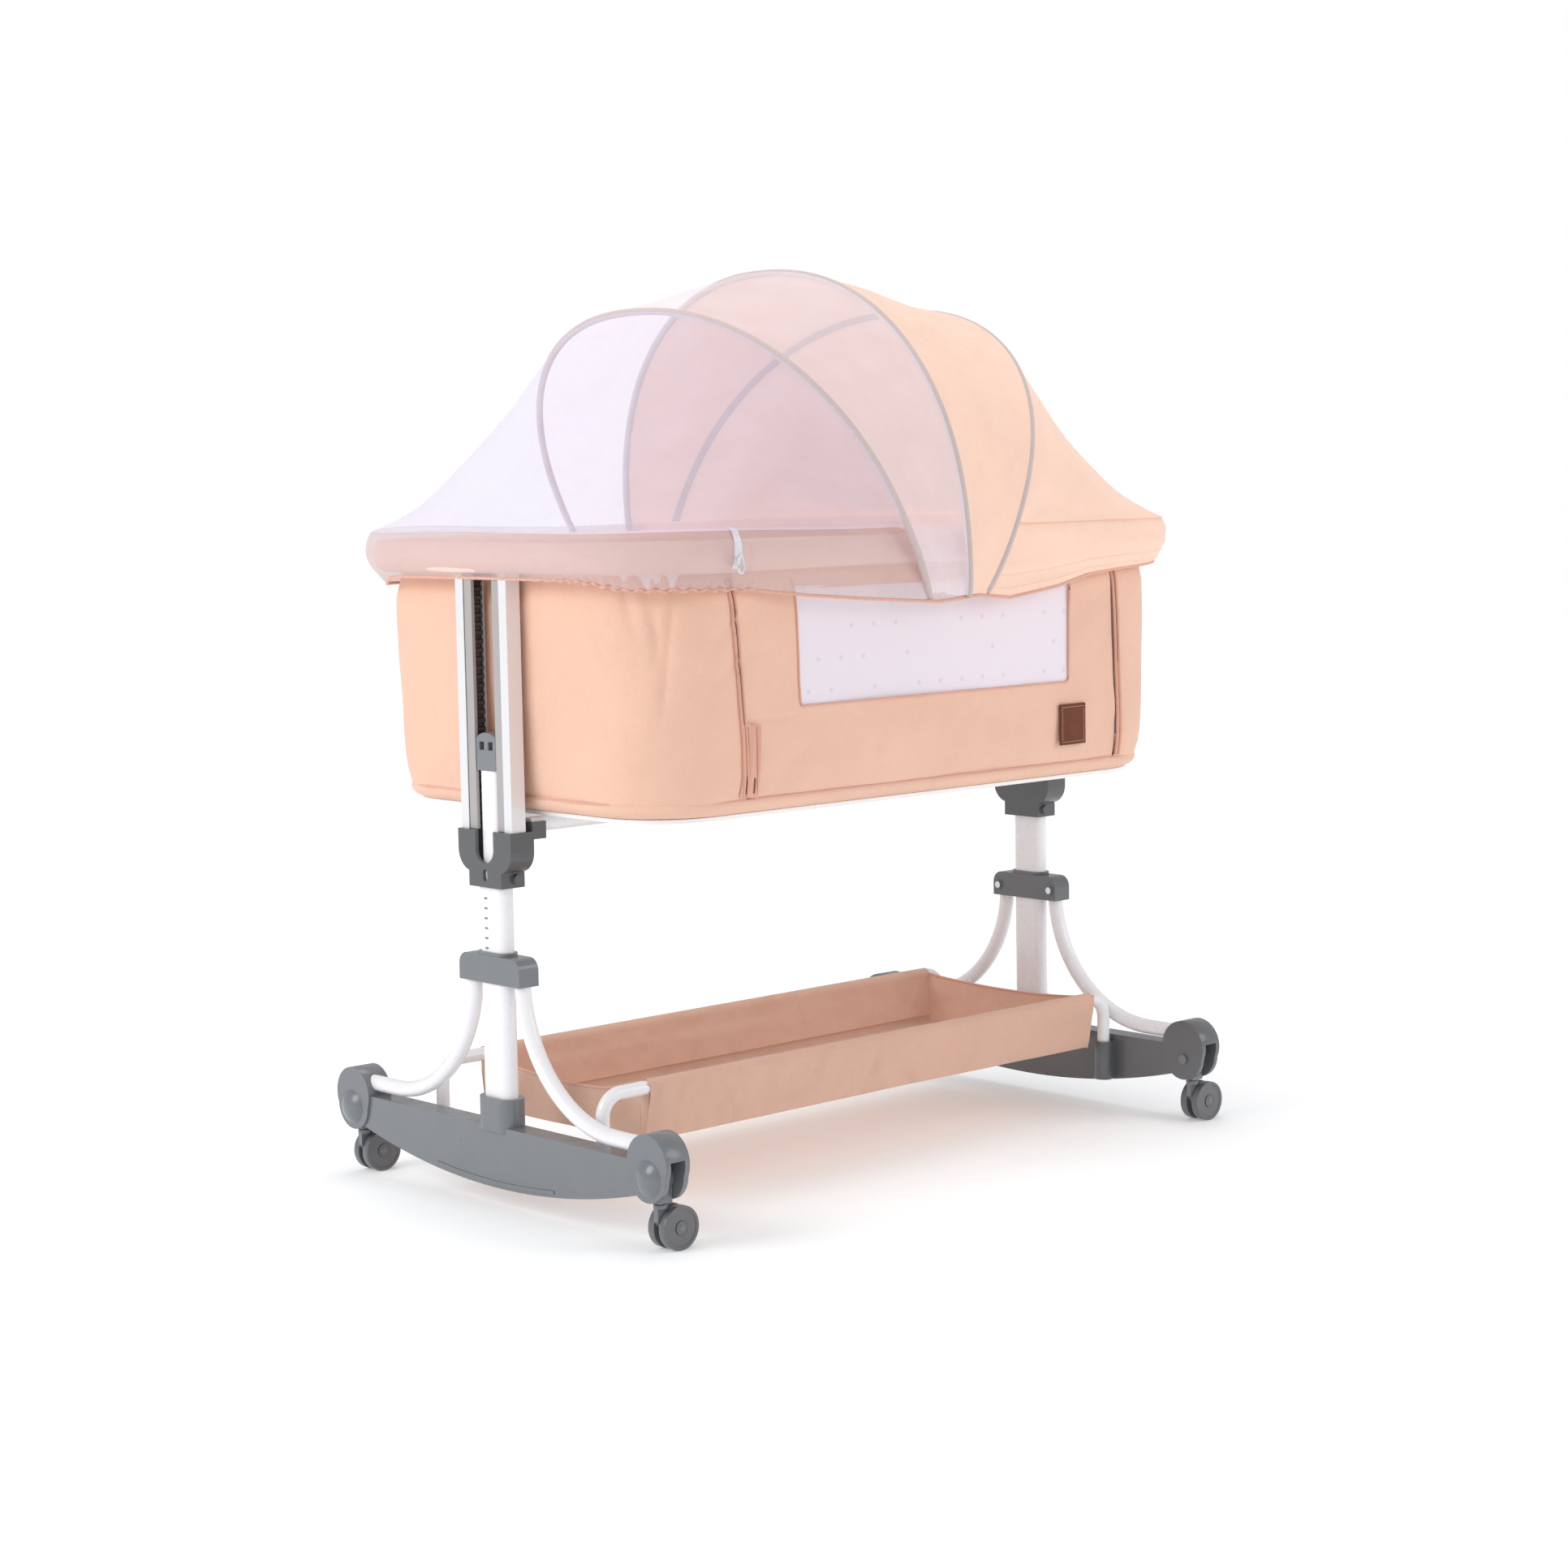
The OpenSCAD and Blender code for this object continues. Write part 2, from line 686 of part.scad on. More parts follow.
module drop_rail() {
    color(white_paint) translate([-drop_x, -rim_y, rim_z]) rotate([90, 0, 90]) linear_extrude(2 * drop_x)
        ring(rim_tube_r, post_wall);
}

module base_tubes() {
    half = foot_x - bracket_in - 0.5;
    color(white_paint) for (side = [NEAR, FAR])
        translate([-half, side * base_tube_y, base_tube_z]) rotate([90, 0, 90]) linear_extrude(2 * half)
            ring(base_tube_r, post_wall);
}

module base_board() {
    inset = 22;
    color(white_paint) translate([0, 0, tub_floor_z - board_t - 0.5]) linear_extrude(board_t)
        polygon(rounded_rect(tub_x - inset, tub_y - inset, tub_corner - inset));
}

module tub_fabric() {
    color(peach) difference() {
        translate([0, 0, tub_floor_z]) linear_extrude(pad_z - tub_floor_z - 0.5)
            polygon(rounded_rect(tub_x, tub_y, tub_corner));
        translate([0, 0, tub_floor_z + cloth_t]) linear_extrude(400)
            polygon(rounded_rect(tub_x - cloth_t, tub_y - cloth_t, tub_corner - cloth_t));
        translate([-drop_x - cloth_gap, -400, panel_low_z - cloth_gap])
            cube([2 * (drop_x + cloth_gap), 200, 400]);
    }
}

module mattress() {
    gap = cloth_t + 3;
    color("white") translate([0, 0, tub_floor_z + cloth_t + 0.5]) linear_extrude(mattress_h)
        polygon(rounded_rect(tub_x - gap, tub_y - gap, tub_corner - gap));
}

module side_panel() {
    color(peach) difference() {
        translate([-drop_x, -tub_y, panel_low_z]) cube([2 * drop_x, cloth_t, pad_z - 0.5 - panel_low_z]);
        translate([window_x0, -tub_y - 1, window_z0])
            cube([window_x1 - window_x0, cloth_t + 2, window_z1 - window_z0]);
    }
}

module side_window() {
    color([0.92, 0.9, 0.95]) translate([window_x0 + 0.5, -tub_y + 1.5, window_z0 + 0.5])
        cube([window_x1 - window_x0 - 1, 1.5, window_z1 - window_z0 - 1]);
}

module leather_patch() {
    color([0.5, 0.3, 0.2]) translate([214, -tub_y - 2.2, 503]) cube([46, 2, 50]);
}

// ---- Canopy ----

// Hoop rod with a round boss at each end, on the hoop's turning axis
module hoop(h) {
    n = hoop_steps;
    rings = [
        for (i = [0:n])
        let (
            a = hoop_angle(h, i, n),
            p = hoop_point(h, a),
            ahead = hoop_point(h, a + 1) - hoop_point(h, a - 1),
            t = ahead / norm(ahead),
            side = [cos(h[1]), 0, -sin(h[1])],
            up = cross(t, side)
        )
        [
            for (k = [0:hoop_sides - 1])
            let (b = 360 * k / hoop_sides)
            p + hoop_r * (cos(b) * side - sin(b) * up)
        ]
    ];
    base_y = abs(rings[0][0][1]);
    color(aluminium) {
        loft(rings);
        for (side = [NEAR, FAR]) translate([h[0], side * base_y, hoop_z]) rotate([90, 0, 0])
            cylinder(h = 2 * hoop_r, r = boss_r, center = true);
    }
}

// Edge of a panel along a hoop, just clear of the rod on the given side
function hoop_edge(h, side) = [
    for (i = [0:hoop_steps])
    hoop_point(h, hoop_angle(h, i, hoop_steps), hoop_r) + side * (hoop_r + 0.8) * [cos(h[1]), 0, -sin(h[1])]
];

function rim_edge(dir, x_start) = [
    for (i = [0:hoop_steps]) rim_point(dir, x_start, i / hoop_steps)
];

// Control points that keep a panel nearly straight, or draw it down towards the rim
function straight_control(a, b) = [for (i = [0:len(a) - 1]) inwards((a[i] + b[i]) / 2, 5)];
function drawn_control(a, b) = [
    for (i = [0:len(a) - 1])
    let (p = lerp(a[i], b[i], 0.4))
    [p[0], p[1], lerp(a[i][2], b[i][2], 0.12)]
];

module net_front() {
    rim = rim_edge(-1, front_hoop[0] - 6);
    top = hoop_edge(front_hoop, -1);
    color(pink_net) panel(rim, top, 5, drawn_control(rim, top));
}

module net_middle() {
    a = hoop_edge(front_hoop, 1);
    b = hoop_edge(middle_hoop, -1);
    color(pink_net) panel(a, b, 4, straight_control(a, b));
}

module hood_front() {
    a = hoop_edge(middle_hoop, 1);
    b = hoop_edge(rear_hoop, -1);
    color(peach) panel(a, b, 4, straight_control(a, b));
}

module hood_rear() {
    rim = rim_edge(1, rear_hoop[0] + 6);
    top = hoop_edge(rear_hoop, 1);
    color(peach) panel(top, rim, 5, drawn_control(rim, top));
}

module skirt() {
    wall = 2;
    top_z = pad_z + pad_h + 2.5;
    hem_z = 716;
    lap = pad_w + 2;
    r = pad_corner + 5;
    color(pink_net) difference() {
        tub_ring(skirt_x, skirt_y, r, lap, hem_z, top_z - hem_z);
        tub_ring(skirt_x - wall, skirt_y - wall, r - wall, lap + 4, hem_z - 1, top_z - wall - hem_z + 1);
    }
}

foot(LEFT);  // foot_left
foot(RIGHT);  // foot_right
post(LEFT);  // post_left
post(RIGHT);  // post_right
inner_tube(LEFT);  // inner_tube_left
inner_tube(RIGHT);  // inner_tube_right
latch_block(LEFT);  // latch_block_left
latch_block(RIGHT);  // latch_block_right
brace(LEFT, NEAR);  // brace_left_near
brace(LEFT, FAR);  // brace_left_far
brace(RIGHT, NEAR);  // brace_right_near
brace(RIGHT, FAR);  // brace_right_far
collar(LEFT);  // collar_left
collar(RIGHT);  // collar_right
collar_screws();
pivot_pins();
basket_tube(NEAR);  // basket_tube_near
basket_tube(FAR);  // basket_tube_far
basket_sling();
caster_arm(LEFT, NEAR);  // caster_arm_left_near
caster_arm(LEFT, FAR);  // caster_arm_left_far
caster_arm(RIGHT, NEAR);  // caster_arm_right_near
caster_arm(RIGHT, FAR);  // caster_arm_right_far
caster_fork(LEFT, NEAR);  // caster_fork_left_near
caster_fork(LEFT, FAR);  // caster_fork_left_far
caster_fork(RIGHT, NEAR);  // caster_fork_right_near
caster_fork(RIGHT, FAR);  // caster_fork_right_far
caster_wheels(LEFT, NEAR);  // caster_wheels_left_near
caster_wheels(LEFT, FAR);  // caster_wheels_left_far
caster_wheels(RIGHT, NEAR);  // caster_wheels_right_near
caster_wheels(RIGHT, FAR);  // caster_wheels_right_far
brake_lever(NEAR);  // brake_lever_near
brake_lever(FAR);  // brake_lever_far
bracket(LEFT);  // bracket_left
bracket(RIGHT);  // bracket_right
rails(LEFT);  // rails_left
rails(RIGHT);  // rails_right
rail_inserts(LEFT);  // rail_inserts_left
rail_inserts(RIGHT);  // rail_inserts_right
racks(LEFT);  // racks_left
racks(RIGHT);  // racks_right
rim_frame();
rim_pad();
base_tubes();
base_board();
mattress();
tub_fabric();
drop_rail();
drop_pad();
side_panel();
side_window();
leather_patch();
hoop(front_hoop);  // hoop_front
hoop(middle_hoop);  // hoop_middle
hoop(rear_hoop);  // hoop_rear
net_front();
net_middle();
hood_front();
hood_rear();
skirt();
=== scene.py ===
"""Looks of a bassinet on a wheeled stand: fabric tub with a side that drops, and a net and fabric canopy."""

from math import asin, copysign, cos, exp, pi, radians, sin

import bpy
import numpy as np
from mathutils import Matrix, Vector, noise


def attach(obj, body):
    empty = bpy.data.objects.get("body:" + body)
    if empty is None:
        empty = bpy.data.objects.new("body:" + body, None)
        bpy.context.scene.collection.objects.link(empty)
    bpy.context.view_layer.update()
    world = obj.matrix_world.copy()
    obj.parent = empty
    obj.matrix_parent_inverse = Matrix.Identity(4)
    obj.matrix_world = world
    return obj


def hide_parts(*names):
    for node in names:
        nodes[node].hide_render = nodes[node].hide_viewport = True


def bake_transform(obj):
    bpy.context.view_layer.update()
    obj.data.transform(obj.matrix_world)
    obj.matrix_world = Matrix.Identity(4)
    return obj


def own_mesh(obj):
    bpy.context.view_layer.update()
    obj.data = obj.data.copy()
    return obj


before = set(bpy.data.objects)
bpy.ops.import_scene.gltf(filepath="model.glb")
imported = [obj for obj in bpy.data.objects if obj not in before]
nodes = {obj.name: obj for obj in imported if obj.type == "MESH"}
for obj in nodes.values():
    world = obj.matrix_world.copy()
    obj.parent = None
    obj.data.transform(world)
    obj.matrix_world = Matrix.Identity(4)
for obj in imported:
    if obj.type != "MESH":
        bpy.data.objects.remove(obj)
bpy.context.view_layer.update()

# ---- Sizes, in metres ----

LEFT, RIGHT = -1, 1
FOOT_X = 0.450
# Rounded rectangles seen from above: half length, half width and corner radius
TUB = (0.436, 0.266, 0.105)
SKIRT = (0.482, 0.292, 0.154)
PAD_LOOP = (0.477, 0.287, 0.149)
RIM_LOOP = (0.479, 0.2895, 0.151)
MATTRESS_LOOP = (0.424, 0.254, 0.094)
# The dropping side: half width in CAD, lower and upper edge, and half width of its plain sheet
GATE_X = 0.309
GATE_LOW_Z = 0.4815
GATE_TOP_Z = 0.734
GATE_SHEET_X = 0.308
GATE_RAIL_TRIM = 0.0105
TUB_LOW_Z = 0.4795
TUB_TOP_Z = 0.738
SEAM_Z = 0.478
LINING_Z = (0.509, 0.742)
LINING_INSET = 0.0075
# Height of the lining's lip under the pad, and how far the lip stands out at the tub's two ends
LIP_Z = 0.7435
LIP_OUT = 0.0215
# Pads round the rim's tube: inset from their loop, half thickness, height, half height, points round
PAD_INSET = 0.0190
PAD_HALF = 0.0145
PAD_Z = 0.7520
PAD_HALF_Z = 0.0190
PAD_SIDES = 20
HOOP_Z = 0.715
HOOP_R = 0.003
HOOP_POWER = 2.2
# Half the gap between two sheets that meet on one hoop, and how high the sheets start on the hoops
SHEET_GAP = 0.0032
SHEET_LOW = -0.018
END_SHEET_LOW = 0.060
SLEEVE_LOW = -0.021
# Canopy hoops: base x, lean in degrees, centre height, rise and half width in the hoop's plane
FRONT_HOOP = (-0.048, -29, 0.071, 0.290, 0.305)
MIDDLE_HOOP = (0.021, -6, 0.055, 0.313, 0.305)
REAR_HOOP = (0.069, 24, 0.078, 0.275, 0.306)
WINDOW_X = (-0.217, 0.2335)
WINDOW_Z = (0.580, 0.712)
SLING_X = (-0.360, 0.396)
BASKET_TOP_Z = 0.150
BASKET_FLOOR_Z = 0.0855


def smooth(a, b, x):
    t = min(max((x - a) / (b - a), 0.0), 1.0)
    return t * t * (3 - 2 * t)


def bump_at(x, centre, width):
    return exp(-(((x - centre) / width) ** 2))


def wrinkle(*p):
    return noise.noise(Vector(p))


def through(points, x):
    """Value at x of the line through the given (x, value) points."""
    return float(np.interp(x, [p[0] for p in points], [p[1] for p in points]))


# ---- Camera, light and floor ----

CAMERA_PLACE = (-2.5481, -2.7606, 0.8508)
CAMERA_YAW_PITCH_ROLL = (42.715, 5.993, 1.021)
CAMERA_LENS = 69.9
FLOOR_SIZE = 14


def add_camera():
    yaw, pitch, roll = (radians(a) for a in CAMERA_YAW_PITCH_ROLL)
    forward = Vector((sin(yaw) * cos(pitch), cos(yaw) * cos(pitch), -sin(pitch)))
    right = Vector((cos(yaw), -sin(yaw), 0))
    down = forward.cross(right)
    across = right * cos(roll) + down * sin(roll)
    up = right * sin(roll) - down * cos(roll)
    data = bpy.data.cameras.new("camera")
    data.lens = CAMERA_LENS
    data.sensor_width = 36
    camera = bpy.data.objects.new("camera", data)
    turn = Matrix((across, up, -forward)).transposed().to_4x4()
    camera.matrix_world = Matrix.Translation(CAMERA_PLACE) @ turn
    bpy.context.scene.collection.objects.link(camera)
    bpy.context.scene.camera = camera


def add_light(name, place, size, power, aim=(0, 0, 0.5)):
    data = bpy.data.lights.new(name, "AREA")
    data.shape = "DISK"
    data.size = size
    data.energy = power
    light = bpy.data.objects.new(name, data)
    light.location = place
    light.rotation_euler = (Vector(aim) - Vector(place)).to_track_quat("-Z", "Y").to_euler()
    bpy.context.scene.collection.objects.link(light)


def add_studio():
    scene = bpy.context.scene
    scene.view_settings.view_transform = "Standard"
    world = bpy.data.worlds.new("studio")
    world.use_nodes = True
    tree = world.node_tree
    soft = tree.nodes["Background"]
    soft.inputs["Color"].default_value = (1.0, 0.99, 1.0, 1)
    soft.inputs["Strength"].default_value = 0.60
    white = tree.nodes.new("ShaderNodeBackground")
    white.inputs["Color"].default_value = (1, 1, 1, 1)
    seen = tree.nodes.new("ShaderNodeLightPath")
    mix = tree.nodes.new("ShaderNodeMixShader")
    for i, output in enumerate((seen.outputs["Is Camera Ray"], soft.outputs[0], white.outputs[0])):
        tree.links.new(output, mix.inputs[i])
    tree.links.new(mix.outputs[0], tree.nodes["World Output"].inputs["Surface"])
    scene.world = world
    add_light("key", (-3.3, 0.6, 2.0), 1.8, 49)
    add_light("fill", (1.9, -3.3, 1.9), 2.2, 32)
    add_light("top", (0.3, 0.4, 3.4), 2.0, 27)
    half = FLOOR_SIZE / 2
    floor = grid_piece("floor", [[(x, y, 0) for y in (-half, half)] for x in (-half, half)], FLOOR)


# ---- Materials ----

def srgb(r, g, b):
    values = [v / 255 for v in (r, g, b)]
    return tuple(v / 12.92 if v <= 0.04045 else ((v + 0.055) / 1.055) ** 2.4 for v in values) + (1,)


class Look:
    """A node material: its shader, and helpers that add procedural detail to it."""

    def __init__(self, name, colour, roughness, coords="Object", **sockets):
        self.material = bpy.data.materials.new(name)
        self.material.use_nodes = True
        self.tree = self.material.node_tree
        self.shader = self.tree.nodes["Principled BSDF"]
        self.coords = self.tree.nodes.new("ShaderNodeTexCoord").outputs[coords]
        self.colour = colour
        self.shader.inputs["Base Color"].default_value = colour
        self.shader.inputs["Roughness"].default_value = roughness
        for socket, value in sockets.items():
            self.shader.inputs[socket.replace("_", " ")].default_value = value
        self.bump_out = None

    def node(self, kind, inputs, **settings):
        made = self.tree.nodes.new("ShaderNode" + kind)
        for key, value in settings.items():
            setattr(made, key, value)
        for key, value in inputs.items():
            if isinstance(value, bpy.types.NodeSocket):
                self.tree.links.new(value, made.inputs[key])
            else:
                made.inputs[key].default_value = value
        return made

    def math(self, operation, a, b=0.0, c=0.0):
        return self.node("Math", {0: a, 1: b, 2: c}, operation=operation).outputs[0]

    def noise(self, scale, detail=3.0, stretch=(1, 1, 1), coords=None):
        placed = self.node("Mapping", {"Vector": coords or self.coords, "Scale": stretch}).outputs[0]
        return self.node("TexNoise", {"Vector": placed, "Scale": scale, "Detail": detail}).outputs["Fac"]

    def weave(self, period):
        """Height of crossed threads, from 0 to 1."""
        parts = self.node("SeparateXYZ", {0: self.coords})
        turns = 2 * pi / period
        across = self.math("SINE", self.math("MULTIPLY", parts.outputs[0], turns))
        along = self.math("SINE", self.math("MULTIPLY", parts.outputs[1], turns))
        return self.math("MULTIPLY_ADD", self.math("MULTIPLY", across, along), 0.5, 0.5)

    def stretch(self, value, low, high, out_low, out_high):
        return self.node("MapRange", {0: value, 1: low, 2: high, 3: out_low, 4: out_high}).outputs[0]

    def vary(self, value, dark, light):
        """Base colour from the dark to the light share of the main one, by value."""
        shades = [tuple(min(c * k, 1) for c in self.colour[:3]) + (1,) for k in (dark, light)]
        self.mix(value, *shades)

    def mix(self, value, first, second):
        made = self.node("Mix", {0: value, 6: first, 7: second}, data_type="RGBA")
        self.set("Base Color", made.outputs[2])

    def bump(self, height, distance, strength=1.0):
        inputs = {"Height": height, "Distance": distance, "Strength": strength}
        if self.bump_out:
            inputs["Normal"] = self.bump_out
        self.bump_out = self.node("Bump", inputs).outputs[0]
        self.set("Normal", self.bump_out)

    def set(self, socket, value):
        self.tree.links.new(value, self.shader.inputs[socket])


def cloth_look(name, colour, coords="UV", sheen=0.25, soft=0.9, glow=0.0, crumple=0.012):
    """Woven cotton: threads, slubs, soft creases and a slow change of shade.

    glow is painted light: an even emission in the cloth's own colour that stands in for the daylight thin
    cloth lets through; crumple is the depth of its creases.
    """
    look = Look(name, colour, soft, coords, Sheen_Weight=sheen, Sheen_Roughness=0.4,
                Emission_Color=colour, Emission_Strength=glow)
    slub_across = look.noise(1, 3, (60, 900, 900))
    slub_along = look.noise(1, 3, (900, 60, 60))
    slubs = look.math("ADD", slub_across, slub_along)
    patches = look.noise(7, 2)
    shade = look.math("MULTIPLY_ADD", patches, 0.7, look.math("MULTIPLY", slubs, 0.5))
    look.vary(look.stretch(shade, 0.55, 1.1, 0, 1), 0.93, 1.05)
    look.bump(look.weave(0.0016), 0.00012, 0.5)
    look.bump(slubs, 0.0005, 0.35)
    around = look.node("TexCoord", {}).outputs["Object"]
    crease = look.math("ABSOLUTE", look.math("SUBTRACT", look.noise(8, 2, coords=around), 0.5))
    look.bump(crease, crumple * 1.6, 0.5)
    look.bump(look.noise(15, 2, coords=around), crumple, 0.4)
    return look.material


def net_look(name, colour, alpha, coords="UV", glow=0.0):
    """Fine net that lets part of what is behind it through; glow is painted light, an even emission in the
    net's own colour for the light its threads scatter.
    """
    look = Look(name, colour, 0.75, coords, Alpha=alpha, Sheen_Weight=0.3, Sheen_Roughness=0.3,
                Emission_Color=colour, Emission_Strength=glow)
    look.vary(look.noise(9, 3), 0.97, 1.03)
    look.bump(look.weave(0.0022), 0.0002, 0.4)
    look.set("Alpha", look.stretch(look.noise(14, 4), 0.3, 0.7, alpha * 0.94, alpha * 1.06))
    return look.material


def plastic_look(name, colour, roughness=0.32):
    look = Look(name, colour, roughness, Coat_Weight=0.35, Coat_Roughness=0.16)
    fine = look.noise(1400, 2)
    look.vary(look.noise(30, 4), 0.94, 1.06)
    look.bump(fine, 0.00006, 0.6)
    look.set("Roughness", look.stretch(look.noise(60, 3), 0.3, 0.7, roughness - 0.05, roughness + 0.07))
    return look.material


def paint_look(name, colour):
    # The paint glows a little in its own colour: painted light that lifts its shaded sides.
    look = Look(name, colour, 0.28, Coat_Weight=0.3, Coat_Roughness=0.12,
                Emission_Color=colour, Emission_Strength=0.05)
    look.vary(look.noise(25, 2), 0.985, 1.01)
    look.bump(look.noise(500, 2), 0.00002, 0.3)
    look.set("Roughness", look.stretch(look.noise(80, 3), 0.3, 0.7, 0.24, 0.34))
    return look.material


def metal_look(name, colour, roughness, brushed=(1, 1, 1), metallic=1.0):
    look = Look(name, colour, roughness, Metallic=metallic)
    lines = look.noise(900, 2, brushed)
    look.vary(lines, 0.94, 1.04)
    look.bump(lines, 0.00004, 0.35)
    look.set("Roughness", look.stretch(lines, 0.3, 0.7, roughness - 0.06, roughness + 0.08))
    return look.material


def leather_look(name, colour):
    look = Look(name, colour, 0.6, Specular_IOR_Level=0.3)
    cells = look.node("TexVoronoi", {"Vector": look.coords, "Scale": 900.0}).outputs["Distance"]
    look.vary(look.noise(60, 4), 0.72, 1.2)
    look.bump(cells, 0.00025, 0.5)
    look.bump(look.noise(300, 3), 0.0002, 0.4)
    return look.material


def print_look(name, colour, mark, pitch, alpha=1.0):
    """Pale cloth with small round marks on a staggered grid."""
    look = Look(name, colour, 0.8, "UV", Sheen_Weight=0.2, Alpha=alpha)
    parts = look.node("SeparateXYZ", {0: look.coords})
    row = look.math("FLOOR", look.math("DIVIDE", parts.outputs[1], pitch))
    shift = look.math("MULTIPLY", look.math("MODULO", row, 2.0), pitch / 2)
    u = look.math("ADD", parts.outputs[0], shift)
    du = look.math("SUBTRACT", look.math("FRACT", look.math("DIVIDE", u, pitch)), 0.5)
    dv = look.math("SUBTRACT", look.math("FRACT", look.math("DIVIDE", parts.outputs[1], pitch)), 0.5)
    far = look.math("SQRT", look.math("ADD", look.math("MULTIPLY", du, du), look.math("MULTIPLY", dv, dv)))
    cell = look.node("CombineXYZ", {0: look.math("FLOOR", look.math("DIVIDE", u, pitch)), 1: row}).outputs[0]
    missing = look.math("LESS_THAN", look.node("TexWhiteNoise", {"Vector": cell}).outputs["Value"], 0.4)
    look.mix(look.stretch(look.math("ADD", far, missing), 0.06, 0.1, 1, 0), colour, mark)
    look.bump(look.weave(0.0018), 0.0001, 0.4)
    look.bump(look.noise(60, 3), 0.0006, 0.2)
    return look.material


def floor_look():
    """Pale studio floor that turns to plain white away from the object."""
    look = Look("floor", (0.93, 0.93, 0.93, 1), 0.9)
    far = look.node("VectorMath", {0: look.coords}, operation="LENGTH").outputs["Value"]
    white = look.node("MapRange", {0: far, 1: 0.75, 2: 1.9}, interpolation_type="SMOOTHSTEP").outputs[0]
    look.mix(white, (0.895, 0.922, 0.935, 1), (0, 0, 0, 1))
    look.shader.inputs["Emission Color"].default_value = (1, 1, 1, 1)
    look.set("Emission Strength", look.stretch(white, 0, 1, 0.22, 1.05))
    return look


PEACH = srgb(237, 194, 171)
FLOOR = floor_look().material
TUB_CLOTH = cloth_look("tub_cloth", PEACH)
# The glow of the pad, hood and basket cloth is painted light: an even emission in their own colour that
# brightens their shaded and inner sides.
PAD_CLOTH = cloth_look("pad_cloth", srgb(245, 210, 198), "Object", glow=0.05)
HOOD_CLOTH = cloth_look("hood_cloth", srgb(222, 189, 171), glow=0.35, crumple=0.022)
BASKET_CLOTH = cloth_look("basket_cloth", srgb(196, 158, 139), soft=0.8, glow=0.26, crumple=0.035)
BINDING = cloth_look("binding", srgb(226, 176, 158), "Object")
# The glow of the nets is painted light as well.
NET = net_look("net", srgb(232, 229, 250), 0.40, glow=0.14)
# The middle net is the front net made warmer and brighter: painted light that stands for the lit hood inside
# behind it.
MIDDLE_NET_PAINTED_LIGHT = net_look("middle_net_painted_light", srgb(242, 234, 242), 0.46, glow=0.2)
SKIRT_NET = net_look("skirt_net", srgb(216, 197, 197), 0.5, glow=0.04)
SLEEVE = cloth_look("sleeve", srgb(206, 190, 188), "Object")
WINDOW = print_look("window_mesh", srgb(246, 238, 247), srgb(234, 224, 232), 0.036, alpha=0.86)
LINING = print_look("lining", srgb(244, 238, 244), srgb(226, 210, 216), 0.042)
MATTRESS = cloth_look("mattress_cover", srgb(244, 240, 242), "Object")
GREY = plastic_look("grey_plastic", srgb(114, 118, 122))
# The brackets get a darker copy of the grey plastic: painted shade from the tub above them.
BRACKET_SHADE_GREY = plastic_look("bracket_painted_shade_plastic", srgb(82, 84, 87))
# The right foot and collar get a darker copy of the grey plastic: painted shade on the side turned away from
# the key light.
SHADED_GREY = plastic_look("right_side_painted_shade_plastic", srgb(98, 101, 105))
WHEEL = plastic_look("wheel_plastic", srgb(102, 103, 106), 0.42)
INSERT = plastic_look("insert_plastic", srgb(172, 168, 168), 0.4)
LATCH = plastic_look("latch_plastic", srgb(122, 126, 130), 0.35)
BLACK = plastic_look("black_plastic", srgb(34, 34, 38), 0.4)
WHITE = paint_look("white_paint", srgb(236, 235, 238))
BOARD = paint_look("white_board", srgb(242, 240, 240))
ALUMINIUM = metal_look("rail_aluminium", srgb(234, 234, 237), 0.34, (20, 20, 1), 0.25)
STEEL = metal_look("steel", srgb(208, 208, 212), 0.25)
LEATHER = leather_look("leather", srgb(112, 60, 40))
ZIP_TAPE = cloth_look("zip_tape", srgb(224, 172, 150), "Object")
ZIP_WHITE = plastic_look("zip_white", srgb(222, 220, 226), 0.35)
# Dark cloth for the slits of the zips and the flap: painted shade in these narrow gaps.
SLIT_SHADE = cloth_look("slit", srgb(132, 92, 82), "Object")

# ---- Mesh helpers ----


def new_piece(name, points, faces, material, uv=None):
    mesh = bpy.data.meshes.new(name)
    mesh.from_pydata([tuple(map(float, p)) for p in points], [], faces)
    if uv is not None:
        layer = mesh.uv_layers.new(name="UVMap")
        for loop in mesh.loops:
            layer.data[loop.index].uv = uv[loop.vertex_index]
    mesh.materials.append(material)
    for polygon in mesh.polygons:
        polygon.use_smooth = True
    mesh.validate()
    piece = bpy.data.objects.new(name, mesh)
    bpy.context.scene.collection.objects.link(piece)
    return piece


def grid_piece(name, rows, material, closed=False, closed_rows=False, skip=None):
    """Sheet through rows of points. closed joins the last row to the first, closed_rows each row's ends."""
    p = np.array(rows, float)
    n, m = p.shape[:2]
    faces = []
    for i in range(n if closed else n - 1):
        for j in range(m if closed_rows else m - 1):
            if skip and skip(i, j):
                continue
            a, b = i * m + j, i * m + (j + 1) % m
            c, d = ((i + 1) % n) * m + (j + 1) % m, ((i + 1) % n) * m + j
            faces.append((a, b, c, d))
    along, across = (
        np.concatenate([[0], np.cumsum(np.linalg.norm(np.diff(line, axis=0), axis=1))])
        for line in (p[:, m // 2], p[n // 2])
    )
    uv = [(along[i], across[j]) for i in range(n) for j in range(m)]
    return new_piece(name, p.reshape(-1, 3), faces, material, uv)


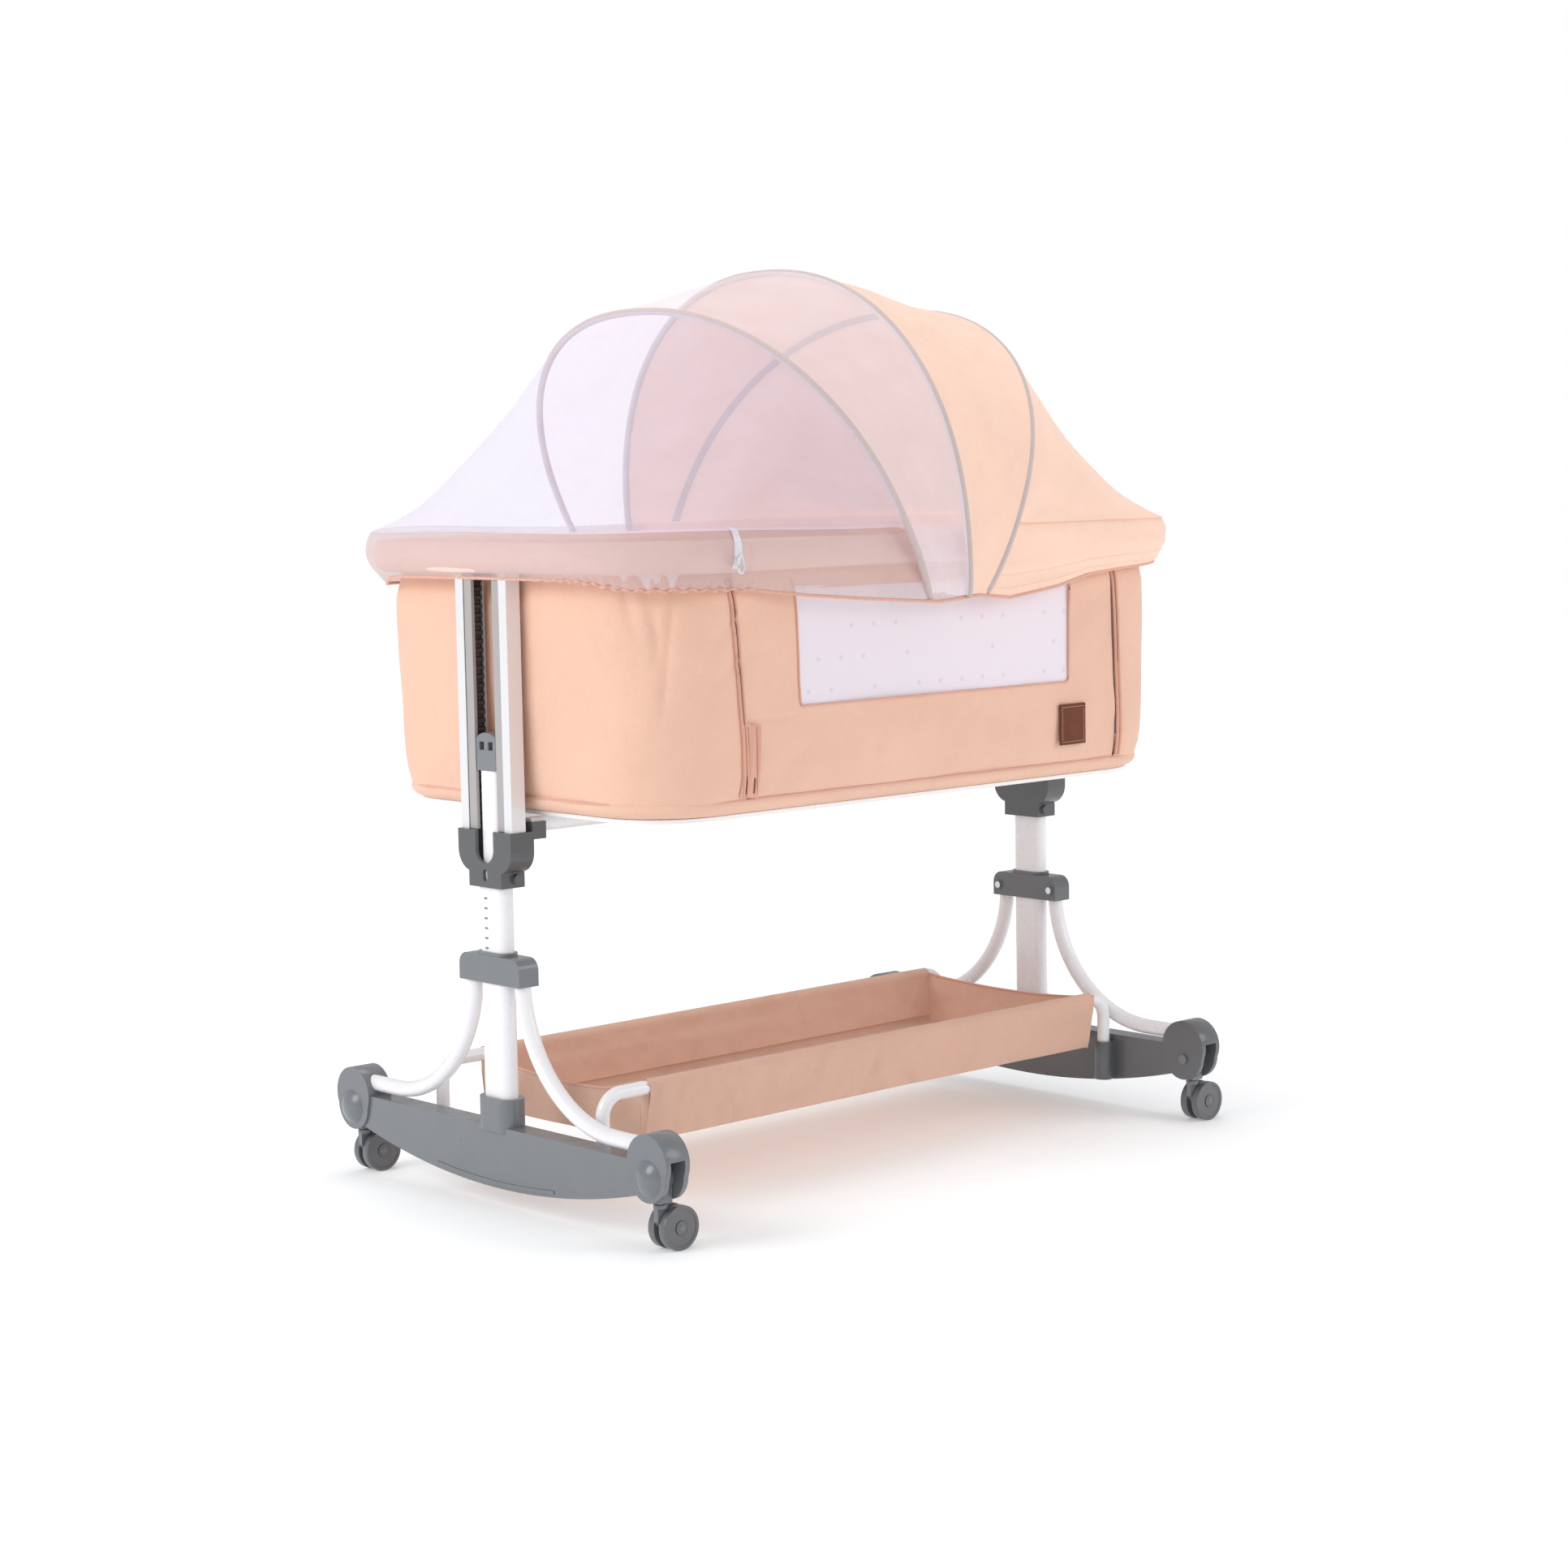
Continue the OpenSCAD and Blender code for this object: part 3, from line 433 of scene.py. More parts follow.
def tube(name, path, radius, material, sides=6, closed=False):
    """Round tube along a path."""
    path = [Vector(p) for p in path]
    n = len(path)
    rows = []
    for i, p in enumerate(path):
        before = path[(i - 1) % n] if closed else path[max(i - 1, 0)]
        after = path[(i + 1) % n] if closed else path[min(i + 1, n - 1)]
        t = (after - before).normalized()
        side = t.cross(Vector((0, 0, 1)))
        side = side.normalized() if side.length > 0.05 else t.cross(Vector((0, 1, 0))).normalized()
        up = side.cross(t)
        turns = [2 * pi * k / sides for k in range(sides)]
        rows.append([p + side * cos(a) * radius + up * sin(a) * radius for a in turns])
    piece = grid_piece(name, rows, material, closed=closed, closed_rows=True)
    if not closed:
        cap_ends(piece, n, sides)
    return piece


def cap_ends(piece, rings, sides):
    """Closes the two open ends of a tube."""
    mesh = piece.data
    points = [v.co.copy() for v in mesh.vertices]
    faces = [tuple(p.vertices) for p in mesh.polygons]
    faces.append(tuple(range(sides))[::-1])
    faces.append(tuple((rings - 1) * sides + k for k in range(sides)))
    material = mesh.materials[0]
    mesh.clear_geometry()
    mesh.from_pydata(points, [], faces)
    for polygon in mesh.polygons:
        polygon.use_smooth = len(polygon.vertices) == 4


def segments(loop):
    """Lengths of the straight and round stretches of a rounded rectangle, in the order of loop_point."""
    hx, hy, r = loop
    quarter = r * pi / 2
    return [hx - r, quarter, 2 * (hy - r), quarter, 2 * (hx - r), quarter, 2 * (hy - r), quarter, hx - r]


def loop_point(loop, s):
    """Point and outward direction at distance s along a rounded rectangle, from the middle of the near side
    towards the left end."""
    hx, hy, r = loop
    cx, cy = hx - r, hy - r
    parts = segments(loop)
    i = 0
    while i < 8 and s > parts[i]:
        s -= parts[i]
        i += 1
    f = min(max(s / parts[i], 0), 1)
    straight = {
        0: ((-cx * f, -hy), (0, -1)),
        2: ((-hx, cy * (2 * f - 1)), (-1, 0)),
        4: ((cx * (2 * f - 1), hy), (0, 1)),
        6: ((hx, cy * (1 - 2 * f)), (1, 0)),
        8: ((cx * (1 - f), -hy), (0, -1)),
    }
    if i in straight:
        (x, y), (nx, ny) = straight[i]
        return Vector((x, y, 0)), Vector((nx, ny, 0))
    centre, start = {1: ((-cx, -cy), 270), 3: ((-cx, cy), 180), 5: ((cx, cy), 90), 7: ((cx, -cy), 0)}[i]
    a = radians(start - 90 * f)
    n = Vector((cos(a), sin(a), 0))
    return Vector((centre[0], centre[1], 0)) + n * r, n


def off(p, n, out, z):
    """Point at a height, that far out from a point of a loop along its outward direction."""
    return p + n * out + Vector((0, 0, z))


def loop_length(loop):
    return sum(segments(loop))


def round_box(name, low, high, radius, material):
    """Box with rounded edges."""
    x0, y0, z0 = low
    x1, y1, z1 = high
    points = [(x, y, z) for x in (x0, x1) for y in (y0, y1) for z in (z0, z1)]
    faces = [(0, 1, 3, 2), (4, 6, 7, 5), (0, 4, 5, 1), (2, 3, 7, 6), (0, 2, 6, 4), (1, 5, 7, 3)]
    piece = new_piece(name, points, faces, material)
    modifier = piece.modifiers.new("round", "BEVEL")
    modifier.width = radius
    modifier.segments = 3
    modifier.limit_method = "ANGLE"
    apply_modifiers(piece)
    return piece


def node_box(node):
    """Lowest and highest corner of a CAD node."""
    points = [node.matrix_world @ Vector(c) for c in node.bound_box]
    return [Vector([f(c) for c in zip(*points)]) for f in (min, max)]


def apply_modifiers(piece):
    bpy.context.view_layer.update()
    mesh = bpy.data.meshes.new_from_object(piece.evaluated_get(bpy.context.evaluated_depsgraph_get()))
    for polygon in mesh.polygons:
        polygon.use_smooth = True
    old = piece.data
    piece.modifiers.clear()
    piece.data = mesh
    bpy.data.meshes.remove(old)


def ride_as(piece, body):
    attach(piece, body)


def on_tub(piece):
    """Trim or cloth that stays on the tub, in its own fabric."""
    ride_as(piece, "bassinet")


# ---- Canopy shapes ----

def signed_pow(v, p):
    return copysign(abs(v) ** p, v)


def hoop_point(hoop, a, grow=0.0, ahead=0.0):
    """Point of a hoop at angle a, moved outwards by grow and across the hoop's plane by ahead."""
    x, lean, centre, rise, half = hoop
    lean = radians(lean)
    y = -(half + grow) * signed_pow(cos(a), 2 / HOOP_POWER)
    s = centre + (rise + grow) * signed_pow(sin(a), 2 / HOOP_POWER)
    return Vector((
        x + s * sin(lean) + ahead * cos(lean), y,
        HOOP_Z + s * cos(lean) - ahead * sin(lean),
    ))


def hoop_start(hoop, low=0.0):
    """Angle at which a hoop stands the given height above its turning axis."""
    s = low / cos(radians(hoop[1])) - hoop[2]
    return asin(signed_pow(s / hoop[3], HOOP_POWER / 2))


def hoop_line(hoop, n, low, grow=0.0, ahead=0.0):
    """Points over a hoop from its near foot to its far one."""
    start = hoop_start(hoop, low)
    return [hoop_point(hoop, start + (pi - 2 * start) * i / n, grow, ahead) for i in range(n + 1)]


def canopy_panel(name, first, second, control, across, material, depth=0.0, seed=0.0):
    """Sheet between two lines of points, bowed towards the control points, with shallow folds."""
    rows = []
    for i, (a, b, c) in enumerate(zip(first, second, control)):
        share = i / (len(first) - 1)
        ends = smooth(0, 0.22, share) * smooth(1, 0.78, share)
        row = []
        for k in range(across + 1):
            u = k / across
            p = (1 - u) ** 2 * a + 2 * u * (1 - u) * c + u * u * b
            inward = (Vector((0.3 * p.x, p.y, p.z - 0.65))).normalized()
            fold = wrinkle(i * 0.11 + seed, u * 1.6, seed) + 0.5 * wrinkle(i * 0.3, u * 3 + seed, 4.2)
            fold -= 0.9 * abs(wrinkle(i * 0.06 + seed, u * 2.5 + i * 0.02, seed + 9))
            row.append(p + inward * depth * fold * ends * sin(pi * u))
        rows.append(row)
    return grid_piece(name, rows, material)


def straight_control(first, second, pull=0.005):
    """Control points that draw a sheet between two hoops slightly inwards."""
    points = []
    for a, b in zip(first, second):
        m = (a + b) / 2
        points.append(m - Vector((0.3 * m.x, m.y, m.z - 0.65)).normalized() * pull)
    return points


def drawn_control(rim, hoop, share=0.4, rise=0.12):
    """Control points that draw a sheet between the rim and a hoop into a hollow sweep."""
    points = []
    for a, b in zip(rim, hoop):
        p = a.lerp(b, share)
        points.append(Vector((p.x, p.y, a.z + (b.z - a.z) * rise)))
    return points


def rim_line(end, x_start, n, z):
    """Points along the rim from the near side round one end to the far side."""
    loop = RIM_LOOP
    parts = segments(loop)
    side = parts[0] - end * x_start
    total = 2 * (side + parts[1]) + parts[2]
    points = []
    for i in range(n + 1):
        s = -x_start - end * (total * i / n)
        p, _ = loop_point(loop, s % loop_length(loop))
        points.append(Vector((p.x, p.y, z + rim_lift(p))))
    return points


# ---- Soft pads ----

def pad_ring(name, s0, s1, rings):
    """Stuffed tube of rounded section along part of the rim."""
    length = loop_length(PAD_LOOP)
    rows = []
    for i in range(rings + 1):
        p, n = loop_point(PAD_LOOP, (s0 + (s1 - s0) * i / rings) % length)
        row = []
        for k in range(PAD_SIDES):
            a = 2 * pi * k / PAD_SIDES
            across = signed_pow(cos(a), 0.95) * PAD_HALF
            up = signed_pow(sin(a), 0.95) * PAD_HALF_Z
            row.append(off(p, n, across - PAD_INSET, PAD_Z + up))
        rows.append(row)
    piece = grid_piece(name, rows, PAD_CLOTH, closed_rows=True)
    cap_ends(piece, rings + 1, PAD_SIDES)
    return piece


def mattress_shape(name, z0, z1):
    """Crowned slab with rounded edges."""
    loop = MATTRESS_LOOP
    n = 96
    rows = []
    edge = [(0.0, 0.16), (0.05, 0.04), (0.2, 0.0), (0.5, -0.004), (0.8, 0.0), (0.95, 0.04), (1.0, 0.16)]
    faces_in = (0.3, 0.6, 0.98)
    levels = [(0.0, inset) for inset in faces_in[::-1]] + edge + [(1.0, inset) for inset in faces_in]
    for share, inset in levels:
        row = []
        for i in range(n):
            p, _ = loop_point(loop, loop_length(loop) * i / n)
            shrink = 1 - inset
            crown = 0.004 * (1 - shrink) if share == 1.0 else 0.0
            row.append((p.x * shrink, p.y * shrink, z0 + (z1 - z0) * share + crown))
        rows.append(row)
    piece = grid_piece(name, rows, MATTRESS, closed_rows=True)
    cap_ends(piece, len(rows), n)
    return piece


PUFF_STEPS = 20


def puff(piece, voxel, cap):
    """Cloth simulation that swells a pad: pressure, no gravity, and no point moves further than cap."""
    material = piece.data.materials[0]
    remesh = piece.modifiers.new("remesh", "REMESH")
    remesh.mode = "VOXEL"
    remesh.voxel_size = voxel
    apply_modifiers(piece)
    start = np.array([v.co for v in piece.data.vertices])
    cloth = piece.modifiers.new("cloth", "CLOTH")
    cloth.settings.quality = 4
    cloth.settings.use_pressure = True
    cloth.settings.uniform_pressure_force = 4
    cloth.settings.effector_weights.gravity = 0
    cloth.settings.shrink_min = -0.03
    cloth.point_cache.frame_start = 1
    cloth.point_cache.frame_end = PUFF_STEPS
    for step in range(1, PUFF_STEPS + 1):
        bpy.context.scene.frame_set(step)
    apply_modifiers(piece)
    moved = np.array([v.co for v in piece.data.vertices]) - start
    length = np.linalg.norm(moved, axis=1, keepdims=True)
    moved *= np.minimum(1, cap / np.maximum(length, 1e-9))
    piece.data.vertices.foreach_set("co", (start + moved).ravel())
    bpy.context.scene.frame_set(1)
    soften = piece.modifiers.new("soften", "SMOOTH")
    soften.iterations = 2
    finer = piece.modifiers.new("finer", "SUBSURF")
    finer.levels = 1
    apply_modifiers(piece)
    piece.data.materials.clear()
    piece.data.materials.append(material)


# ---- Tub ----

def tub_profile(z):
    """How far the tub's wall stands out at a height, before folds."""
    shape = (
        (0.478, -0.0105), (0.484, -0.0082), (0.494, -0.0058), (0.512, -0.0034), (0.54, -0.0016),
        (0.58, -0.0005), (0.62, 0), (0.70, 0), (0.738, -0.006),
    )
    return through(shape, z)


# Long folds round the near left corner: place along the wall, lean, depth and lowest height
CORNER_FOLDS = (
    (0.392, 0.10, 0.0042, 0.55), (0.409, 0.02, 0.0034, 0.60), (0.421, -0.13, 0.0036, 0.62),
    (0.447, -0.22, 0.0024, 0.64),
)
# Short slanting folds beside the left zip: height, slope, depth, and the stretch of wall where they fade
ZIP_FOLDS = ((0.66, 0.9, 0.0016, 0.375, 0.33), (0.615, 0.7, 0.0014, 0.365, 0.32))


def tub_out(s, z, p, n):
    """How far the tub's wall stands out from its plain outline."""
    corner = 2 * abs(n.x * n.y)
    d = tub_profile(z) * (1 + 0.25 * corner)
    d += 0.0028 * wrinkle(s * 5 + z * 5, z * 5 - s * 2, 0.3) * smooth(0.74, 0.66, z)
    d += 0.0012 * wrinkle(s * 19 - z * 15, z * 11, 5.1)
    d += 0.0018 * wrinkle(s * 30, z * 3.2, 8.4) * smooth(0.63, 0.72, z)
    if p.x < -0.28 and p.y < -0.1:
        for start, lean, depth, low in CORNER_FOLDS:
            d -= depth * bump_at(s - start - lean * (0.72 - z), 0, 0.0055) * smooth(low, low + 0.07, z)
        for height, slope, depth, gone, full in ZIP_FOLDS:
            d -= depth * bump_at(z - height + slope * (s - 0.34), 0, 0.004) * smooth(gone, full, s)
    if abs(p.x) > 0.40 and abs(p.y) < 0.075:
        d = min(d, 0.0012) - 0.0012
    return min(d, 0.004)


def gate_edge(end, z):
    """Distance of the zip beside the dropping side from the middle; the two zips lean a little."""
    t = (z - 0.484) / 0.24
    return 0.2935 + 0.0205 * t if end == LEFT else 0.3225 - 0.0125 * t


def add_tub_wall():
    length = loop_length(TUB)
    rows = []
    levels = np.linspace(TUB_LOW_Z, TUB_TOP_Z, 56)
    for share in np.linspace(0, 1, 460):
        row = []
        for z in levels:
            start, stop = gate_edge(LEFT, z) + 0.0008, length - gate_edge(RIGHT, z) - 0.0008
            s = start + (stop - start) * share
            p, n = loop_point(TUB, s)
            row.append(off(p, n, tub_out(s, z, p, n), z))
        rows.append(row)
    wall = grid_piece("tub_wall", rows, TUB_CLOTH)
    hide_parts("tub_fabric")
    on_tub(wall)


def add_tub_roll():
    """The wall's lower edge, rolled under the board, and the piping on its seam."""
    length = loop_length(TUB)
    rows = []
    turn = ((0.4825, -0.0100), (0.4795, -0.0084), (0.4760, -0.0076), (0.4715, -0.0088), (0.4672, -0.0135),
            (0.4642, -0.0205), (0.4638, -0.0600))
    for s in np.linspace(0, length, 420, endpoint=False):
        p, n = loop_point(TUB, s)
        corner = 0.0024 * 2 * abs(n.x * n.y)
        rows.append([
            off(p, n, d - corner + 0.0006 * wrinkle(s * 25, z * 40, 2), z) for z, d in turn
        ])
    roll = grid_piece("tub_roll", rows, TUB_CLOTH, closed=True)
    on_tub(roll)

    path = []
    for s in np.linspace(0, length, 300, endpoint=False):
        p, n = loop_point(TUB, s)
        corner = 1 + 0.5 * 2 * abs(n.x * n.y)
        path.append(off(p, n, tub_profile(SEAM_Z) * corner + 0.0012, SEAM_Z + 0.0015))
    on_tub(tube("seam_piping", path, 0.0021, BINDING, closed=True))


def add_tub_lining():
    """Lining inside the wall, with a lip that closes the gap under the pad."""
    length = loop_length(TUB)
    rows = []
    for s in np.linspace(GATE_X + 0.001, length - GATE_X - 0.001, 200):
        p, n = loop_point(TUB, s)
        row = [
            off(p, n, 0.0012 * wrinkle(s * 8, z * 6, 11) - LINING_INSET, z)
            for z in np.linspace(*LINING_Z, 24)
        ]
        row.append(off(p, n, LIP_OUT * smooth(0.6, 1.0, abs(n.x)) - LINING_INSET, LIP_Z))
        rows.append(row)
    lining = grid_piece("tub_lining", rows, LINING)
    ride_as(lining, "bassinet")


def gate_blend(piece):
    """Bakes the placement of a piece of the dropping side into its mesh."""
    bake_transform(piece)


def panel_y(x, z):
    """Y of the dropping side's outer face."""
    d = tub_profile(z) + 0.0022 * wrinkle(x * 6 - z * 4, z * 9, 1.7) + 0.001 * wrinkle(x * 22, z * 25, 6)
    d += 0.002 * bump_at(z, 0.545, 0.02) * wrinkle(x * 5, 0.3, 9)
    d -= 0.0016 * bump_at(z, 0.569, 0.0022) * smooth(WINDOW_X[0] - 0.002, WINDOW_X[0] - 0.01, x)
    return -TUB[1] - d


def in_window(x, z):
    return WINDOW_X[0] < x < WINDOW_X[1] and WINDOW_Z[0] < z < WINDOW_Z[1]


def gate_place(x, z):
    """X on the dropping side of a point of its upright sheet, whose edges then follow the leaning zips."""
    end = LEFT if x < 0 else RIGHT
    side = WINDOW_X[0 if end == LEFT else 1]
    edge = (gate_edge(end, z) - GATE_X) * smooth(abs(side), GATE_SHEET_X, abs(x))
    if end == LEFT:
        edge += 0.0065 * (z - 0.58) / 0.13 * smooth(-0.306, side, x) * smooth(-0.1, side, x)
    return x + end * edge


def add_gate():
    xs = np.concatenate([
        np.linspace(-GATE_SHEET_X, WINDOW_X[0], 24), np.linspace(WINDOW_X[0], WINDOW_X[1], 90)[1:],
        np.linspace(WINDOW_X[1], GATE_SHEET_X, 18)[1:],
    ])
    zs = np.concatenate([
        np.linspace(GATE_LOW_Z, WINDOW_Z[0], 26), np.linspace(WINDOW_Z[0], WINDOW_Z[1], 30)[1:],
        np.linspace(WINDOW_Z[1], GATE_TOP_Z, 6)[1:],
    ])
    mid_x, mid_z = (xs[1:] + xs[:-1]) / 2, (zs[1:] + zs[:-1]) / 2
    rows = [[(gate_place(x, z), panel_y(x, z), z) for z in zs] for x in xs]
    panel = grid_piece(
        "side_panel_cloth", rows, TUB_CLOTH, skip=lambda i, j: in_window(mid_x[i], mid_z[j])
    )
    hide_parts("side_panel")
    gate_blend(panel)

    wx, wz = np.linspace(WINDOW_X[0] - 0.003, WINDOW_X[1] + 0.003, 60), np.linspace(0.577, 0.715, 20)
    rows = [[(gate_place(x, z), -0.2635 - 0.0012 * wrinkle(x * 7, z * 9, 3), z) for z in wz] for x in wx]
    window = grid_piece("side_window_mesh", rows, WINDOW)
    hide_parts("side_window")
    gate_blend(window)

    (x0, x1), turn, top = WINDOW_X, 0.004, 0.722
    edge = [(x0, z) for z in np.linspace(top, WINDOW_Z[0] + turn, 24)]
    edge += [(x, WINDOW_Z[0]) for x in np.linspace(x0 + turn, x1 - turn, 70)]
    edge += [(x1, z) for z in np.linspace(WINDOW_Z[0] + turn, top, 24)]
    path = [(gate_place(x, z), panel_y(x, z) - 0.0006, z) for x, z in edge]
    gate_blend(tube("window_welt", path, 0.0014, BINDING))


def add_zip_flap():
    """Short flap over the foot of the left zip, with two slits of painted shade and two folds."""
    low, height = 0.484, 0.082
    rows = []
    for f in np.linspace(0, 1, 18):
        row = []
        for v in np.linspace(0, 1, 30):
            z = low + height * v
            x = -0.2935 - (0.0135 - 0.0045 * v) + (0.0265 - 0.003 * v) * f
            row.append((x, panel_y(-0.29, z) - 0.0026 - 0.0006 * sin(f * 14), z - 0.003 * f))
        rows.append(row)
    flap = grid_piece("zip_flap", rows, ZIP_TAPE)
    gate_blend(flap)
    for name, x, top, lean, radius, look in (
        ("flap_slit_a", -0.2985, 0.512, 0, 0.0008, SLIT_SHADE), ("flap_slit_b", -0.2865, 0.504, 0, 0.0008, SLIT_SHADE),
        ("flap_fold_a", -0.2945, 0.562, 0.004, 0.0006, ZIP_TAPE),
        ("flap_fold_b", -0.2815, 0.562, 0.004, 0.0006, ZIP_TAPE),
    ):
        levels = np.linspace(low + 0.003, top, 12)
        line = [(x - lean * (z - levels[0]) / 0.075, panel_y(x, z) - 0.0034, z) for z in levels]
        gate_blend(tube(name, line, radius, look))


# Parts of a zip: distance from the dropping side's edge, distance out of the wall, radius and look
ZIP_PARTS = (
    ("outer_welt", 0.0078, 0.0012, 0.0021, ZIP_TAPE), ("inner_welt", 0.0022, 0.0012, 0.0018, ZIP_TAPE),
    ("slit_shade", 0.0048, 0.0004, 0.0014, SLIT_SHADE), ("tape", 0.0048, 0.0001, 0.0014, BINDING),
)
ZIP_Z = (0.4835, 0.727)


def add_zip(name, end, slit_shade_low):
    """Two welts with a dark slit of painted shade between them, on the tub's wall beside the dropping side.
    """
    length = loop_length(TUB)
    for part, shift, out, radius, look in ZIP_PARTS:
        low = slit_shade_low if part == "slit_shade" else ZIP_Z[0]
        line = []
        for z in np.linspace(ZIP_Z[1], low, 40):
            s = (-end * (gate_edge(end, z) + shift)) % length
            p, n = loop_point(TUB, s)
            line.append(off(p, n, tub_out(s, z, p, n) + out, z))
        on_tub(tube(f"{name}_{part}", line, radius, look, sides=8))


PATCH_X = (0.214, 0.260)
PATCH_Y = (-0.2688, -0.2662)
PATCH_Z = (0.503, 0.553)
PATCH_STITCHES = 52


def add_patch():
    """Leather patch without a mark, and the stitches round it."""
    low, high = zip(PATCH_X, PATCH_Y, PATCH_Z)
    patch = round_box("leather_patch_sewn", low, high, 0.0009, LEATHER)
    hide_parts("leather_patch")
    ride_as(patch, "bassinet")
    middle_x, middle_z = sum(PATCH_X) / 2, sum(PATCH_Z) / 2
    points, faces = [], []
    for k in range(PATCH_STITCHES):
        f = k / PATCH_STITCHES * 4
        side, t = int(f), f - int(f)
        along, across = 0.0385 * (t - 0.5), 0.0425 / 2
        tall, wide = 1.1 * along, across - 0.002
        x, z = ((along, -across), (wide, tall), (-along, across), (-wide, -tall))[side]
        hx, hz = (0.00105, 0.00032) if side % 2 == 0 else (0.00032, 0.00105)
        base = len(points)
        for dy in (0.0, -0.0005):
            for sx, sz in ((-1, -1), (1, -1), (1, 1), (-1, 1)):
                shrink = 1.0 if dy == 0 else 0.6
                across, up = x + sx * hx * shrink, z + sz * hz * shrink
                points.append((middle_x + across, PATCH_Y[0] + 0.0001 + dy, middle_z + up))
        faces += [(base + 4, base + 5, base + 6, base + 7)]
        faces += [(base + i, base + (i + 1) % 4, base + 4 + (i + 1) % 4, base + 4 + i) for i in range(4)]
    stitches = new_piece("patch_stitches", points, faces, BINDING)
    ride_as(stitches, "bassinet")


# ---- Rim, skirt and canopy ----

def hem_z(p):
    """Height of the skirt's hem."""
    near = (
        (-0.482, 0.727), (-0.45, 0.718), (-0.335, 0.716), (-0.30, 0.7145), (-0.215, 0.7045), (-0.14, 0.698),
        (-0.025, 0.690), (0.045, 0.6945), (0.10, 0.6895), (0.188, 0.700), (0.247, 0.711), (0.32, 0.7165),
        (0.43, 0.722), (0.482, 0.732),
    )
    side = through(near, p.x)
    end = 0.729 if p.x < 0 else 0.737
    return side + (end - side) * smooth(0.235, 0.12, abs(p.y)) if abs(p.x) > 0.36 else side


def hem_pull(p):
    """How far the elastic hem draws the skirt in under the rim."""
    near = 0.018 * smooth(-0.14, -0.33, p.x) + 0.015 * smooth(0.14, 0.33, p.x)
    return 0.0205 + (near - 0.0205) * smooth(-0.20, -0.28, p.y)


def rim_lift(p):
    """How far the fabric over the rim stands above its plain height."""
    return 0.004 * smooth(-0.1, -0.44, p.x) + 0.003 * wrinkle(p.x * 5, p.y * 5, 7) * smooth(0.12, -0.1, p.x)


def gathered(p):
    """Where the hem is gathered on its elastic: round the near corner of the left end."""
    return smooth(-0.27, -0.32, p.x) * smooth(-0.05, -0.2, p.y)


# Section of the skirt over the rim's crest: distance out of its outline and height
SKIRT_LAP = (
    (-0.024, 0.7785), (-0.018, 0.7790), (-0.011, 0.7785), (-0.006, 0.7770), (-0.003, 0.7745), (-0.001, 0.770),
)
SKIRT_STEPS = 16


def skirt_rows(s_values):
    """Rows of the skirt from inside the rim over its crest down to the hem."""
    length = loop_length(SKIRT)
    rows = []
    for s in s_values:
        p, n = loop_point(SKIRT, s % length)
        low, pull, elastic, hood = hem_z(p), hem_pull(p), gathered(p), smooth(0.05, 0.12, p.x)
        rise = rim_lift(p)
        row = [
            off(p, n, d + 0.0006 * wrinkle(s * 40, z * 30, 1), z + rise) for d, z in SKIRT_LAP
        ]
        top = SKIRT_LAP[-1][1] + rise
        for k in range(1, SKIRT_STEPS + 1):
            u = k / SKIRT_STEPS
            z = top + (low - top) * u
            fold = 0.0026 * wrinkle(s * 7 + u * 1.5, u * 1.3, 3) + 0.0012 * wrinkle(s * 26, u * 1.5, 6)
            d = 0.0024 * sin(pi * min(u * 1.3, 1)) - pull * u ** 3
            d += fold * smooth(0.0, 0.3, u)
            d -= 0.0022 * elastic * abs(wrinkle(s * 16, u * 2.2, 12)) * sin(pi * min(1.2 * u, 1))
            d += 0.004 * hood * (abs(wrinkle(s * 3.5 - u, u * 3.5 + s * 2, 15)) - 0.2) * sin(pi * u)
            ripple = sin(s * 2 * pi / 0.0135 + 4 * wrinkle(s * 11, 1, 1))
            d += (0.0004 + 0.0015 * elastic) * smooth(0.8, 0.97, u) * ripple
            ripple = sin(s * 2 * pi / 0.021 + 2 * wrinkle(s * 13, 2, 1))
            z += 0.0014 * elastic * smooth(0.85, 1, u) * ripple
            if p.y < -0.27 and -0.12 < p.x < 0.12:
                d += 0.005 * smooth(0.12, 0.03, abs(p.x)) * smooth(0.3, 1.0, u)
            row.append(off(p, n, d, z))
        rows.append(row)
    return rows


def add_skirt():
    length = loop_length(SKIRT)
    half = length / 2
    # The net's part reaches this far past the middle of each long side
    split = 0.03
    net_rows = skirt_rows(np.linspace(-split, half + split, 900))
    net = grid_piece("skirt_net", net_rows, SKIRT_NET)
    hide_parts("skirt")
    ride_as(net, "bassinet")
    hood_rows = skirt_rows(np.linspace(half + split, length - split, 760))
    hood = grid_piece("skirt_hood", hood_rows, HOOD_CLOTH)
    ride_as(hood, "bassinet")
    hem = [row[-1] for row in net_rows] + [row[-1] for row in hood_rows[1:-1]]
    on_tub(tube("hem_binding", hem, 0.0021, BINDING, closed=True))
    for name, drop in (("hood_seam_a", 3), ("hood_seam_b", 6)):
        line = [row[-drop] for row in hood_rows[::4]]
        ride_as(tube(name, line, 0.0010, HOOD_CLOTH), "bassinet")


